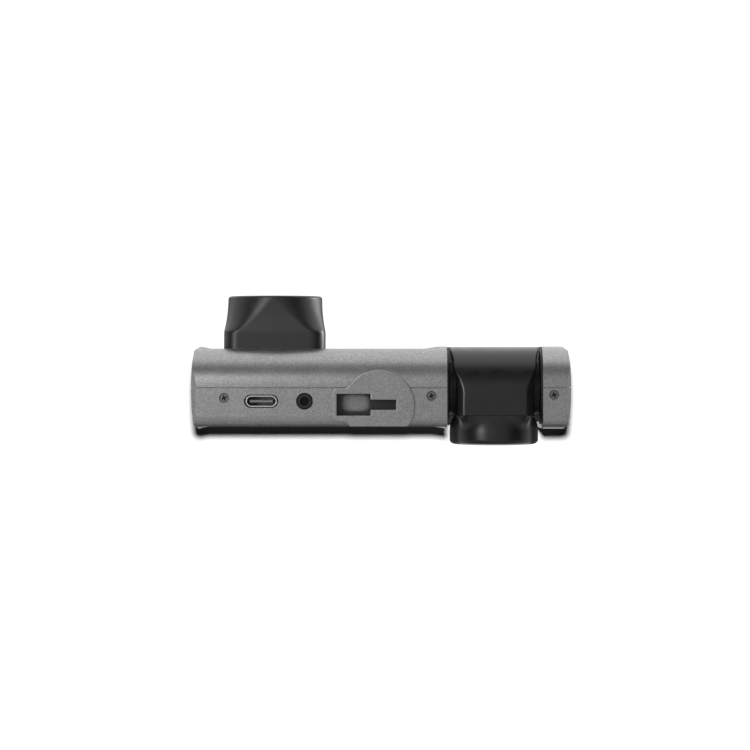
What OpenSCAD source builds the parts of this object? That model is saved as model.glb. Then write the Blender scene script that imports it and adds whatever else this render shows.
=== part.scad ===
// Two-lens dash camera: a long two-shell body with a fixed road lens on the windscreen side,
// a display and five keys on the cabin side, and a cabin camera that tilts in a bay near one end.
// X runs along the body, +Y points to the windscreen, +Z to the mounting side.
// The origin is the middle of the base, on the plane where the two shells meet.

/* [Body] */
// Length over the domed ends
body_l = 108; // [104:1:114]
// Height from the base to the mounting side
body_h = 50; // [50:0.5:53]
// Depth across the end rims
body_d = 23.4; // [23.2:0.1:24]
// Wall thickness of the shells
wall = 1.8; // [1.6:0.1:1.9]
// Large rounding where the front face meets the mounting side
round_top = 11.6; // [10:0.1:11.6]
// Rounding where the front face meets the base
round_base = 6; // [4:0.5:7]
// Rounding along the display side
round_rear = 3.6; // [2.5:0.1:3.6]
// How far the front face is sunk between the rims
front_sink = 0.6; // [0:0.1:0.6]
// How far the display face is sunk between the rims
rear_sink = 0.65; // [0:0.05:0.7]

/* [Mount] */
// Radius of the round mounting pad
pad_r = 10.1; // [9.5:0.1:10.4]
// Height of the pad above the shells
pad_rise = 0.7; // [0.4:0.1:1]
// Length of the wide entry of the slot
entry_l = 9.6; // [9:0.1:9.8]
// Width of the wide entry and of the chamber below the lips
entry_w = 6.2; // [6:0.1:6.4]
// Length of the narrow run of the slot
run_l = 7.3; // [6.5:0.1:7.4]
// Width of the narrow run
run_w = 2.9; // [2.5:0.1:3.2]
// Thickness of the lips that hold the tongue
lip_t = 1.5; // [1.3:0.1:1.6]

/* [Road lens] */
// Place of the road lens along the body
lens_x = -30.6; // [-31:0.1:-30]
// Height of the road lens above the base
lens_z = 27.4; // [27:0.2:28]
// Width of the square foot of the lens housing
foot_w = 28.9; // [28.6:0.1:29.4]
// Radius of the round mouth of the lens housing
mouth_r = 13.6; // [13:0.1:13.8]
// Distance of the mouth from the seam plane
mouth_y = 26.3; // [25.5:0.1:27]

/* [Cabin camera] */
// Width of the bay in the body
bay_w = 27.2; // [27:0.1:27.6]
// Place of the middle of the bay along the body
bay_x = 32.4; // [32:0.1:32.6]
// Radius of the round camera face
face_r = 12.7; // [12.4:0.1:12.8]
// Distance of the camera face from the tilt axis
face_y = 16.7; // [16.4:0.1:16.8]
// Radius of the hollow axles
axle_r = 4; // [3.8:0.1:4]

/* [Keys] */
// Number of keys below the display
key_count = 5; // [5]
// Distance from key to key
key_pitch = 10.5; // [10:0.1:10.6]
// Length of a key
key_l = 8; // [7:0.1:8.2]
// Width of a key
key_w = 3.8; // [3.4:0.1:4]

/* [Hidden] */
$fn = 64;

// Colours
grey_paint = [0.47, 0.47, 0.48];
black_plastic = [0.11, 0.11, 0.115];
gloss_black = [0.03, 0.03, 0.035];
board_green = [0.05, 0.23, 0.12];
steel = [0.72, 0.72, 0.74];
dark_glass = [0.06, 0.07, 0.10];

// Half sizes and main planes
eps = 0.01;
half_l = body_l / 2;
front_y = body_d / 2;
rear_y = -body_d / 2;
front_face_y = front_y - front_sink;
rear_face_y = rear_y + rear_sink;
inner_front_y = front_face_y - wall;
inner_rear_y = rear_face_y + wall;
inner_top_z = body_h - wall;
end_chamfer = 1.5;
dome_rise = 0.7;
rim_l = 2.5;
flare_l = 3.8;
front_lip_l = 2.6;
rear_lip_l = 0.4;

// Bay of the cabin camera, and its tilt axis on the seam plane
bay_x0 = bay_x - bay_w / 2;
bay_x1 = bay_x + bay_w / 2;
neck_h = 12.5;
tilt_z = body_h - neck_h - 0.9;
swing_r = 20.3;
bay_floor_z = tilt_z - swing_r;
bridge_rear_y = -10.2;
end_wall = 1.6;

// Case screws go in from the mounting side and from the base
screw_places = [[-44.5, -3], [14.3, -2.4], [49.1, -2.1]];
lug_half = 2;
screw_head_r = 1.25;
screw_seat_r = 1.4;
screw_shank_r = 0.78;
pilot_r = 0.82;

// Shadow gaps along the seam and around the lens foot
seam_gap_w = 0.2;
seam_gap_h = 0.3;
foot_gap_w = 0.3;
foot_gap_y = 9.9;

// Ports on the mounting side
port_y = -3.9;
usb_x = -34;
usb_l = 8.8;
usb_w = 3.2;
usb_wall = 0.3;
usb_z = 42;
usb_opening_l = 9.7;
usb_opening_w = 3.75;
tongue_l = 6.6;
tongue_t = 0.7;
jack_x = -21.7;
jack_opening_r = 2.4;
jack_bore_r = 1.3;
jack_nose_r = 1.95;
jack_top_z = body_h - 0.2;
jack_bore_l = 10.3;

// Mounting slot
slot_y = -4.9;
slot_x = -3;
pad_x = -0.6;
pad_y = -5.1;
lobe_x = -13.8;
lobe_w = 9.3;
lobe_r = 1.3;
lobe_fillet = 2.2;
pad_top_z = body_h + pad_rise;
chamber_top_z = pad_top_z - lip_t;
chamber_z = chamber_top_z - 4.2;
shoe_floor = 1.3;
pad_skin = 1.3;
pad_drop = 5.5;

// Display window and panel
window_x0 = -47.5;
window_x1 = 8.5;
window_z0 = 11.2;
window_z1 = 43.4;
window_t = 1;
window_r = 2;

// Boards
board_front_y = -1;
board_rear_y = -2.2;
key_z = 6.3;
key_x0 = -40.5;
key_rise = 0.5;
light_x = 7.4;
mic_x = 10.4;

// Rating plate in the base
plate_l = 18;
plate_w = 9;
plate_t = 0.4;

// ---------- helpers ----------

// Box from one corner to the other
module block(x0, x1, y0, y1, z0, z1) translate([x0, y0, z0]) cube([x1 - x0, y1 - y0, z1 - z0]);

// Round bar along Y, along X or along Z
module rod_y(x, z, y0, y1, r) translate([x, y0, z]) rotate([-90, 0, 0]) cylinder(h = y1 - y0, r = r);
module rod_x(x0, x1, y, z, r) translate([x0, y, z]) rotate([0, 90, 0]) cylinder(h = x1 - x0, r = r);
module rod_z(x, y, z0, z1, r) translate([x, y, z0]) cylinder(h = z1 - z0, r = r);

// Rings along Y and along X
module ring_y(x, z, y0, y1, r_out, r_in) difference() {
    rod_y(x, z, y0, y1, r_out);
    rod_y(x, z, y0 - 1, y1 + 1, r_in);
}
module ring_x(x0, x1, y, z, r_out, r_in) difference() {
    rod_x(x0, x1, y, z, r_out);
    rod_x(x0 - 1, x1 + 1, y, z, r_in);
}

// A flat shape in X and Z, given depth along Y
module slab_y(y0, y1) translate([0, y1, 0]) rotate([90, 0, 0]) linear_extrude(y1 - y0) children();

// A flat shape in Y and Z, given length along X
module prism_x(x0, x1) translate([x0, 0, 0]) rotate([90, 0, 90]) linear_extrude(x1 - x0) children();

// Rectangle with round corners, from one corner to the other
module round_rect(x0, x1, y0, y1, r) union() {
    translate([x0 + r, y0]) square([x1 - x0 - 2 * r, y1 - y0]);
    translate([x0, y0 + r]) square([x1 - x0, y1 - y0 - 2 * r]);
    for (x = [x0 + r, x1 - r], y = [y0 + r, y1 - r]) translate([x, y]) circle(r);
}

// Slot shape with full round ends, centred on a point
module stadium(x, y, l, w) union() {
    translate([x - l / 2 + w / 2, y - w / 2]) square([l - w, w]);
    for (s = [-1, 1]) translate([x + s * (l - w) / 2, y]) circle(w / 2);
}

// Waste outside a round corner: sx and sy point from the arc's centre to the corner
module corner_waste(x, y, r, sx, sy) difference() {
    translate([x + sx * r / 2 + sx * eps, y + sy * r / 2 + sy * eps]) square(r + 2 * eps, center = true);
    translate([x, y]) circle(r);
}

// ---------- outer form of the body ----------

// Cross-section in Y and Z, shrunk by e: one big rounding at the mounting side, smaller ones elsewhere
module section(e, y_front, y_rear) difference() {
    translate([y_rear, e]) square([y_front - y_rear, body_h - 2 * e]);
    corner_waste(y_front - (round_top - e), body_h - round_top, round_top - e, 1, 1);
    corner_waste(y_front - (round_base - e), round_base, round_base - e, 1, -1);
    corner_waste(y_rear + (round_rear - e), body_h - round_rear, round_rear - e, -1, 1);
    corner_waste(y_rear + (round_rear - e), round_rear, round_rear - e, -1, -1);
}

// Edge of a domed end, from front to rear; side is 1 at the +X end and -1 at the other
function dome(side) = [for (i = [0 : 8]) let (t = side * (1 - i / 4), y = front_y - end_chamfer * 0.8)
    [side * (half_l - dome_rise + dome_rise * (1 - t * t)), y * t]];

// Plan in X and Y: rims at the ends and at the bay, sunk faces between them, domed ends
module plan() polygon(concat(
    dome(1),
    [[half_l - end_chamfer - dome_rise, rear_y], [bay_x0 - rear_lip_l, rear_y],
     [bay_x0 - rear_lip_l - flare_l, rear_face_y],
     [-half_l + 2 * rim_l, rear_face_y], [-half_l + end_chamfer + dome_rise, rear_y]],
    dome(-1),
    [[-half_l + end_chamfer + dome_rise, front_y], [-half_l + 2 * rim_l, front_face_y],
     [bay_x0 - front_lip_l - flare_l, front_face_y], [bay_x0 - front_lip_l, front_y],
     [half_l - end_chamfer - dome_rise, front_y]]));

// Front view in X and Z: ends bevelled at the mounting side and at the base
module front_view() polygon([for (sx = [-1, 1], k = [0 : 3])
    let (j = sx > 0 ? k : 3 - k, far = j == 1 || j == 2)
    [sx * (half_l - (far ? 0 : end_chamfer)),
     j == 0 ? 0 : j == 1 ? end_chamfer : j == 2 ? body_h - end_chamfer : body_h]]);

// The whole body as one solid form, before it is hollowed and split
module body_form() intersection() {
    prism_x(-half_l - 1, half_l + 1) section(0, front_y, rear_y);
    linear_extrude(body_h) plan();
    slab_y(rear_y - 1, front_y + 1) front_view();
}

// Hollow spaces: electronics chamber, duct below the bay and end chamber
module body_hollow() {
    prism_x(-half_l + 2, bay_x0 - wall) section(wall, inner_front_y, inner_rear_y);
    prism_x(bay_x1 + end_wall, half_l - 2) section(wall, inner_front_y, inner_rear_y);
    difference() {
        prism_x(bay_x0 - wall - 1, bay_x1 + end_wall + 1)
            section(wall, inner_front_y, bridge_rear_y + wall);
        block(bay_x0 - 9, bay_x1 + 9, -20, 20, bay_floor_z - wall, body_h + 1);
    }
}

// Bay that the cabin camera tilts in: open above, in front and behind, with a floor that clears its swing
module bay() {
    block(bay_x0, bay_x1, -30, 30, bay_floor_z, body_h + 1);
    block(bay_x0, bay_x1, -30, bridge_rear_y, -1, body_h + 1);
}

// Round seats for the two hubs
module hub_seats() {
    rod_x(bay_x0 - wall - 1, bay_x0 + 1, 0, tilt_z, 5.3);
    rod_x(bay_x1 - 1, bay_x1 + end_wall + 1, 0, tilt_z, 5.3);
}

// Outline of the mounting pad: a disc and a lobe with hollow fillets, cut off at the display face
module pad_outline() intersection() {
    offset(r = -lobe_fillet) offset(r = lobe_fillet) union() {
        translate([pad_x, pad_y]) circle(pad_r);
        round_rect(lobe_x, pad_x, slot_y - lobe_w / 2, slot_y + lobe_w / 2, lobe_r);
    }
    translate([-20, rear_face_y]) square([40, 40]);
}

// The pad as it is keyed into the shells' outer skin
module pad_key() difference() {
    translate([0, 0, body_h - pad_drop]) linear_extrude(pad_rise + pad_drop) pad_outline();
    prism_x(-half_l, bay_x0) section(pad_skin, front_y - pad_skin, rear_face_y + pad_skin);
}

// Box below the pad that holds the tongue's chamber
module shoe_box(gap) block(slot_x - entry_l - 1 - gap, slot_x + run_l + 1 + gap,
    slot_y - entry_w / 2 - 1 - gap, slot_y + entry_w / 2 + 1 + gap, chamber_z - shoe_floor - gap, body_h);

// Shallow seat for the blank rating plate in the base, across the seam
module plate_seat()
    block(-plate_l / 2 - 0.1, plate_l / 2 + 0.1, -plate_w / 2 - 0.1, plate_w / 2 + 0.1, -1, plate_t);

// ---------- shells ----------

// Lugs of the front shell that reach under the rear shell's edge and take the case screws
module lugs() for (p = screw_places) {
    x0 = max(p[0] - lug_half, p[0] > bay_x ? bay_x1 + end_wall + 0.1 : -half_l);
    x1 = p[0] + lug_half;
    y0 = p[1] - lug_half;
    block(x0, x1, y0, 4, inner_top_z - 4.6, inner_top_z - 0.05);
    block(x0, x1, y0, 4, wall + 0.05, wall + 3);
    // Foot that joins the lower lug to the front shell's own floor
    block(x0, x1, 0.05, 4, wall - 0.5, wall + 0.1);
}

// Pilot holes in the lugs, through holes and sunk seats in the rear shell
module screw_holes(r, seat) for (p = screw_places) {
    rod_z(p[0], p[1], body_h - 6, body_h + 1, r);
    rod_z(p[0], p[1], -1, 6, r);
    if (seat) {
        rod_z(p[0], p[1], body_h - 0.9, body_h + 1, screw_seat_r);
        rod_z(p[0], p[1], -1, 0.9, screw_seat_r);
    }
}

// Shadow gap along the seam of the two shells, cut into the rear one
module seam_gap() {
    block(-half_l - 1, half_l + 1, -seam_gap_w, eps, body_h - seam_gap_h, body_h + 1);
    block(-half_l - 1, half_l + 1, -seam_gap_w, eps, -1, seam_gap_h);
    for (s = [-1, 1]) block(s > 0 ? half_l - dome_rise - 0.1 : -half_l - 1,
        s > 0 ? half_l + 1 : -half_l + dome_rise + 0.1, -seam_gap_w, eps, seam_gap_h, body_h - seam_gap_h);
}

// Shadow gap around the foot of the lens housing, cut into the front shell
module foot_gap() difference() {
    half = foot_w / 2;
    outer = half + foot_gap_w;
    slab_y(foot_gap_y, front_y + 1)
        round_rect(lens_x - outer, lens_x + outer, lens_z - outer, lens_z + outer, foot_r + foot_gap_w);
    slab_y(foot_gap_y - 1, front_y + 2)
        round_rect(lens_x - half, lens_x + half, lens_z - half, lens_z + half, foot_r);
}

// Posts that carry the main board
post_places = [[-46, 9.5], [-46, 37], [8, 9.5], [11.2, 31]];
module board_posts() for (p = post_places) rod_y(p[0], p[1], board_front_y, inner_front_y + 0.5, 1.9);

module front_shell() color(grey_paint) difference() {
    union() {
        difference() {
            intersection() {
                body_form();
                block(-60, 60, 0, 30, -1, body_h + 1);
            }
            body_hollow();
        }
        lugs();
        intersection() {
            board_posts();
            body_form();
        }
    }
    bay();
    hub_seats();
    screw_holes(pilot_r, false);
    for (p = post_places) rod_y(p[0], p[1], board_front_y - 1, 5, 0.72);
    rod_y(lens_x, lens_z, 5, 20, 11.6);
    foot_gap();
    pad_key();
    plate_seat();
}

module rear_shell() color(grey_paint) difference() {
    intersection() {
        body_form();
        block(-60, 60, -30, 0, -1, body_h + 1);
    }
    body_hollow();
    bay();
    hub_seats();
    screw_holes(0.95, true);
    seam_gap();
    // Window seat and the opening behind it
    slab_y(rear_y - 1, rear_face_y + window_t)
        round_rect(window_x0 - 0.1, window_x1 + 0.1, window_z0 - 0.1, window_z1 + 0.1, window_r);
    block(window_x0 + 1.8, window_x1 - 1.8, rear_y, 0 - 5, window_z0 + 1.5, window_z1 - 1.5);
    // Ports
    translate([0, 0, body_h - 4]) linear_extrude(5) stadium(usb_x, port_y, usb_opening_l, usb_opening_w);
    rod_z(jack_x, port_y, body_h - 4, body_h + 1, jack_opening_r);
    // Memory card slot in the end
    block(-half_l - 1, -half_l + 3, -3.9, -2.5, 17.2, 29);
    // Key holes
    for (i = [0 : key_count - 1])
        slab_y(rear_y - 1, inner_rear_y + 1)
            stadium(key_x0 + i * key_pitch, key_z, key_l + 0.3, key_w + 0.3);
    // Light, microphone and speaker holes
    rod_y(light_x, key_z, rear_y - 1, inner_rear_y + 1, 0.95);
    rod_y(mic_x, key_z, rear_y - 1, inner_rear_y + 1, 0.5);
    for (i = [0 : 6], j = [0 : 2])
        rod_y(bay_x + (i - 3) * 2.4, 5.2 + j * 2.4, bridge_rear_y - 2, bridge_rear_y + wall + 1, 0.6);
    // Air slots and the rating plate's seat in the base
    for (i = [0 : 5]) block(-36 + i * 4, -34.6 + i * 4, -7, -1.4, -1, wall + 1);
    plate_seat();
    pad_key();
    shoe_box(0.05);
}

module mount_shoe() color(grey_paint) difference() {
    union() {
        pad_key();
        shoe_box(0);
    }
    // Wide entry, narrow run and the chamber below the lips
    block(slot_x - entry_l, slot_x, slot_y - entry_w / 2, slot_y + entry_w / 2, chamber_z, pad_top_z + 1);
    block(slot_x - 1, slot_x + run_l, slot_y - run_w / 2, slot_y + run_w / 2, chamber_z, pad_top_z + 1);
    block(slot_x - entry_l, slot_x + run_l, slot_y - entry_w / 2, slot_y + entry_w / 2,
        chamber_z, chamber_top_z);
}

// ---------- road lens ----------

foot_r = 3.5;
foot_y = 16.1;
mouth_edge = 0.8;
tunnel_r = 10.2;
glass_y = 21.5;

// Square foot that turns into a round mouth
module lens_form() {
    slab_y(8, foot_y) round_rect(lens_x - foot_w / 2, lens_x + foot_w / 2,
        lens_z - foot_w / 2, lens_z + foot_w / 2, foot_r);
    hull() {
        for (sx = [-1, 1], sz = [-1, 1])
            rod_y(lens_x + sx * (foot_w / 2 - foot_r), lens_z + sz * (foot_w / 2 - foot_r),
                foot_y - 0.02, foot_y, foot_r, $fn = 32);
        rod_y(lens_x, lens_z, mouth_y - mouth_edge - 0.02, mouth_y - mouth_edge, mouth_r, $fn = 96);
    }
    translate([lens_x, mouth_y - mouth_edge, lens_z]) rotate([-90, 0, 0])
        cylinder(h = mouth_edge, r1 = mouth_r, r2 = mouth_r - mouth_edge * 0.6);
}

module lens_housing() color(black_plastic) difference() {
    union() {
        difference() {
            lens_form();
            body_form();
        }
        ring_y(lens_x, lens_z, 9, front_y + 1, 11.5, tunnel_r);
    }
    rod_y(lens_x, lens_z, 5, 30, tunnel_r);
    translate([lens_x, glass_y - 0.1, lens_z]) rotate([-90, 0, 0])
        cylinder(h = mouth_y - glass_y + 0.11, r1 = tunnel_r + 0.3, r2 = mouth_r - 1.2);
}

module lens_bezel() color(gloss_black) difference() {
    rod_y(lens_x, lens_z, 18.6, glass_y - 0.05, tunnel_r - 0.05);
    translate([lens_x, 18.5, lens_z]) rotate([-90, 0, 0]) cylinder(h = 3.1, r1 = 7.3, r2 = 8.8);
}

module lens_cover_glass() color(dark_glass, 0.4) rod_y(lens_x, lens_z, glass_y, glass_y + 0.8, tunnel_r);

module lens_barrel() color(black_plastic) difference() {
    union() {
        rod_y(lens_x, lens_z, 2, 12, 6);
        rod_y(lens_x, lens_z, 12, 20.2, 7);
    }
    rod_y(lens_x, lens_z, 1, 16.5, 4.4);
    rod_y(lens_x, lens_z, 16.5, 21, 5.6);
}

module lens_front_element() color(dark_glass, 0.6) intersection() {
    rod_y(lens_x, lens_z, 16.6, 20.4, 5.55);
    translate([lens_x, 10.4, lens_z]) sphere(r = 9.9);
}

module lens_holder() color(black_plastic) difference() {
    block(lens_x - 8, lens_x + 8, board_front_y, 8, lens_z - 8, lens_z + 8);
    rod_y(lens_x, lens_z, 1.9, 9, 6.05);
    block(lens_x - 5.5, lens_x + 5.5, board_front_y - 1, 1.9, lens_z - 5, lens_z + 5);
}

module infrared_filter() color([0.5, 0.7, 0.75], 0.5)
    block(lens_x - 4, lens_x + 4, 0.6, 1, lens_z - 4, lens_z + 4);

module image_sensor() color(gloss_black)
    block(lens_x - 4.2, lens_x + 4.2, board_front_y, 0, lens_z - 3.8, lens_z + 3.8);

// ---------- boards and parts on them ----------

module main_board() color(board_green) difference() {
    union() {
        block(-49, 13.5, board_rear_y, board_front_y, 5, 42);
        block(-41.5, -16.5, board_rear_y, board_front_y, 42 - eps, 46.8);
    }
    for (p = post_places) rod_y(p[0], p[1], board_rear_y - 1, board_front_y + 1, 1);
}

module processor() color(gloss_black) block(-13, -1, board_front_y, 0.1, 29, 41);

module heat_sink() color(steel) {
    block(-14, 0, 0.1, 1.5, 28, 41.6);
    for (i = [0 : 4]) block(-14 + i * 3.2, -12.8 + i * 3.2, 1.5 - eps, 5.2, 28, 41.6);
}

module memory_chip() color(gloss_black) block(0.4, 8.4, board_front_y, 0, 24, 33.5);

module radio_shield() color(steel) block(-6, 6, board_front_y, 0.8, 7, 17);

// USB-C receptacle: steel shell with round sides and a tab on its foot, and the tongue on its base
module usb_shell() color(steel) difference() {
    union() {
        translate([0, 0, usb_z]) linear_extrude(body_h - 0.35 - usb_z) stadium(usb_x, port_y, usb_l, usb_w);
        block(usb_x - 2.8, usb_x + 2.8, port_y - usb_w / 2 - 0.6, port_y - usb_w / 2 + 0.15, usb_z, usb_z + 1);
    }
    translate([0, 0, usb_z + 1]) linear_extrude(body_h - usb_z)
        stadium(usb_x, port_y, usb_l - 2 * usb_wall, usb_w - 2 * usb_wall);
}

module usb_tongue() color(gloss_black) {
    translate([0, 0, usb_z + 1]) linear_extrude(1.2)
        stadium(usb_x, port_y, usb_l - 2 * usb_wall - 0.04, usb_w - 2 * usb_wall - 0.04);
    block(usb_x - tongue_l / 2, usb_x + tongue_l / 2, port_y - tongue_t / 2, port_y + tongue_t / 2,
        usb_z + 2, body_h - 1.1);
}

// Round socket for a 2.5 mm plug
module av_jack() color(black_plastic) difference() {
    union() {
        block(jack_x - 3, jack_x + 3, -6.2, board_rear_y - 0.02, 38, inner_top_z - 0.1);
        rod_z(jack_x, port_y, inner_top_z - 0.2, jack_top_z, jack_nose_r);
    }
    rod_z(jack_x, port_y, jack_top_z - jack_bore_l, jack_top_z + 1, jack_bore_r);
}

module card_socket() color(steel) difference() {
    block(-51.6, -37.5, -4.2, board_rear_y - 0.02, 16, 30.2);
    block(-53, -38.5, -3.8, -2.7, 17.5, 28.7);
}

module battery() color([0.35, 0.36, 0.4]) block(-12, 14, 3.2, 8, 12, 27.6);

module speaker() color(black_plastic) {
    block(bay_x - 8.2, bay_x + 8.2, bridge_rear_y + wall + 0.05, -5.6, 3.6, 12.4);
}

// Microphone capsule behind its hole, on two legs
module microphone() color(steel) {
    rod_y(mic_x, key_z, inner_rear_y + 0.05, -7.2, 1.9);
    for (s = [-1, 1]) rod_y(mic_x + s, key_z, -7.2 - eps, -4.3, 0.25);
}

// ---------- display and keys ----------

module display_window() color(dark_glass) slab_y(rear_face_y, rear_face_y + window_t)
    round_rect(window_x0, window_x1, window_z0, window_z1, window_r);

module display_panel() color([0.1, 0.12, 0.15])
    block(window_x0 + 0.4, window_x1 - 0.4, inner_rear_y + 0.02, inner_rear_y + 2.2,
        window_z0 + 0.3, window_z1 - 0.5);

module display_bracket() color(steel) difference() {
    block(window_x0 + 1, window_x1 - 1, inner_rear_y + 2.25, inner_rear_y + 2.75,
        window_z0 + 0.8, window_z1 - 0.8);
    for (i = [0 : 2]) slab_y(-10, 0) round_rect(-43 + i * 17, -30 + i * 17, 15, 39, 2);
}

module key_board() color(board_green) block(-44.8, 12, -4.3, -3.3, 4.85, 10);

module key_switches() color(steel) difference() {
    for (i = [0 : key_count - 1])
        block(key_x0 + i * key_pitch - 1.8, key_x0 + i * key_pitch + 1.8, -6.3, -4.3,
            key_z - 1.8, key_z + 1.8);
    for (i = [0 : key_count - 1]) rod_y(key_x0 + i * key_pitch, key_z, -7, -5.2, 0.85);
}

// One key: the cap with its hidden flange and post, and the switch stem that it pushes
module key(i) color(black_plastic) {
    x = key_x0 + i * key_pitch;
    slab_y(rear_face_y - key_rise, inner_rear_y + 0.1) stadium(x, key_z, key_l, key_w);
    slab_y(inner_rear_y + 0.05, inner_rear_y + 0.7) round_rect(x - key_l / 2 - 0.4, x + key_l / 2 + 0.4,
        key_z - key_w / 2 - 0.6, key_z + key_w / 2 + 0.7, 1);
    rod_y(x, key_z, inner_rear_y + 0.7 - eps, -7.2, 1.2);
    rod_y(x, key_z, -7.2, -5.8, 0.8);
}

module power_button() key(0);
module menu_button() key(1);
module record_button() key(2);
module mode_button() key(3);
module lock_button() key(4);

// Clear rod that leads the light of the chip on the key board to the display side
module status_light() color([0.85, 0.9, 0.95]) rod_y(light_x, key_z, rear_face_y, -5.2, 0.9);

module status_led() color([0.9, 0.85, 0.6])
    block(light_x - 0.8, light_x + 0.8, -5.1, -4.3, key_z - 0.5, key_z + 0.5);

module rating_plate() color([0.7, 0.7, 0.7])
    block(-plate_l / 2, plate_l / 2, -plate_w / 2, plate_w / 2, 0, plate_t);

// ---------- fasteners ----------

// Cross recess in a screw head, cut down from the top
module cross_recess(depth) for (a = [0, 90]) rotate([0, 0, a + 20])
    translate([-0.72, -0.18, -depth]) cube([1.44, 0.36, depth + 1]);

// Case screw with its head's top at the origin, pointing down
module case_screw() difference() {
    union() {
        translate([0, 0, -0.5]) cylinder(h = 0.5, r = screw_head_r);
        translate([0, 0, -4]) cylinder(h = 4, r = screw_shank_r);
    }
    cross_recess(0.8);
}

module case_screws() color([0.2, 0.2, 0.21]) for (p = screw_places) {
    translate([p[0], p[1], body_h - 0.4]) case_screw();
    translate([p[0], p[1], 0.4]) mirror([0, 0, 1]) case_screw();
}

module board_screws() color(steel) for (p = post_places)
    translate([p[0], board_rear_y, p[1]]) rotate([90, 0, 0]) {
        cylinder(h = 0.8, r = 1.7);
        translate([0, 0, -5]) cylinder(h = 5 + eps, r = 0.7);
    }

// ---------- tilt joint ----------

hub_disc = 0.5;
collar_gap = 0.25;
collar_r = 7.6;
neck_w = 11.05;
ribbon_bore_r = 2.6;

// Children are drawn for the joint's inner side; side is -1 there and 1 at the end of the body
module joint_side(side) translate([bay_x, 0, tilt_z]) mirror([side > 0 ? 0 : 1, 0, 0]) children();

// Bearing hub held between the shells, with its disc in the bay
module hub() color(black_plastic) difference() {
    union() {
        rod_x(bay_w / 2 - hub_disc, bay_w / 2, 0, 0, 10.6);
        rod_x(bay_w / 2 - eps, bay_w / 2 + wall + 0.7, 0, 0, 5.25);
        rod_x(bay_w / 2 + wall + 0.05, bay_w / 2 + wall + 0.7, 0, 0, 6.4);
    }
    rod_x(0, bay_w, 0, 0, axle_r + 0.05);
}
module inner_hub() joint_side(-1) hub();
module outer_hub() joint_side(1) hub();

// Hollow axle with the collar that closes the camera's side
module axle() color(black_plastic) difference() {
    union() {
        rod_x(neck_w, bay_w / 2 - hub_disc - collar_gap, 0, 0, collar_r);
        rod_x(neck_w + 1, bay_w / 2 + wall + 2.2, 0, 0, axle_r);
    }
    rod_x(0, bay_w, 0, 0, ribbon_bore_r);
}
module inner_axle() joint_side(-1) axle();
module outer_axle() joint_side(1) axle();

module axle_clips() color(steel) for (s = [-1, 1])
    joint_side(s) ring_x(bay_w / 2 + wall + 1.55, bay_w / 2 + wall + 2.05, 0, 0, 5.4, axle_r);

module friction_washers() color([0.75, 0.6, 0.35]) for (s = [-1, 1])
    joint_side(s) ring_x(bay_w / 2 + wall + 0.8, bay_w / 2 + wall + 1.45, 0, 0, 5.6, axle_r + 0.1);

// Flat cable through the inner axle: the body's stretch, and the camera's stretch that turns with it
ribbon_split_x = bay_x - 9.9;
module body_ribbon() color([0.75, 0.5, 0.2]) {
    block(bay_x0 - 12, ribbon_split_x, -0.15, 0.15, tilt_z - 2, tilt_z + 2);
    block(bay_x0 - 12, bay_x0 - 11.7, board_front_y, 0.15, tilt_z - 2, tilt_z + 2);
}
module cabin_ribbon() color([0.75, 0.5, 0.2]) {
    block(ribbon_split_x + 0.1, bay_x - 7.7, -0.15, 0.15, tilt_z - 2, tilt_z + 2);
    block(bay_x - 8, bay_x - 7.7, -3.6, 0.15, tilt_z - 2, tilt_z + 2);
}

// ---------- cabin camera ----------

cap_y = -7.9;
barrel_front_y = 11.5;
ellipse_y = -3.3;
ellipse_a = barrel_front_y - ellipse_y;
flat_w = 8.85;
bevel_h = 1.3;
bevel_end_y = -0.9;
shoulder_y = 5.2;
flare_y = -12.5;
rim_y = -15;

// Side outline of the barrel in Y and Z about the tilt axis: flat above and below, elliptical in front
module barrel_side() polygon(concat(
    [[cap_y, neck_h], [cap_y, -neck_h]],
    [for (i = [0 : 24]) let (a = -90 + i * 7.5) [ellipse_y + ellipse_a * cos(a), neck_h * sin(a)]]));

// Half width of the barrel at a distance y from the axis: a narrow neck, a shoulder and a flared front
function shoulder(y) = let (t = min(1, max(0, (y - 2.2) / 4.2))) 0.85 * t * t * (3 - 2 * t);
function flare(y) = 0.8 * pow(max(0, y - 6.4) / 5.1, 2);
function half_width(y) = neck_w + shoulder(y) + flare(y);
drum_w = half_width(barrel_front_y);

// Plan of the barrel in X and Y
plan_steps = [for (i = [0 : 16]) let (y = 2.2 + (barrel_front_y - 2.2) * i / 16) [half_width(y), y]];
module barrel_plan() polygon(concat(
    [[-neck_w, cap_y], [neck_w, cap_y]],
    plan_steps,
    [for (i = [16 : -1 : 0]) [-plan_steps[i][0], plan_steps[i][1]]]));

// Face outline of the neck in X and Z: a rectangle with bevelled corners
module neck_outline() polygon([for (p = [[1, 1], [1, -1], [-1, -1], [-1, 1]], k = [0, 1])
    let (tall = (p[0] * p[1] > 0) ? k : 1 - k)
    tall == 0 ? [p[0] * flat_w, p[1] * neck_h] : [p[0] * neck_w, p[1] * (neck_h - bevel_h)]]);

// Bevelled neck whose bevels run out over the shoulder, then the full width of the drum
module bevel_limits() {
    slab_y(cap_y, bevel_end_y) neck_outline();
    hull() {
        slab_y(bevel_end_y - eps, bevel_end_y) neck_outline();
        slab_y(shoulder_y, shoulder_y + eps) square([2 * drum_w, 2 * neck_h], center = true);
    }
    block(-drum_w, drum_w, shoulder_y, barrel_front_y, -neck_h, neck_h);
}

module barrel_form() intersection() {
    prism_x(-drum_w, drum_w) barrel_side();
    translate([0, 0, -neck_h]) linear_extrude(2 * neck_h) barrel_plan();
    bevel_limits();
}

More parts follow.
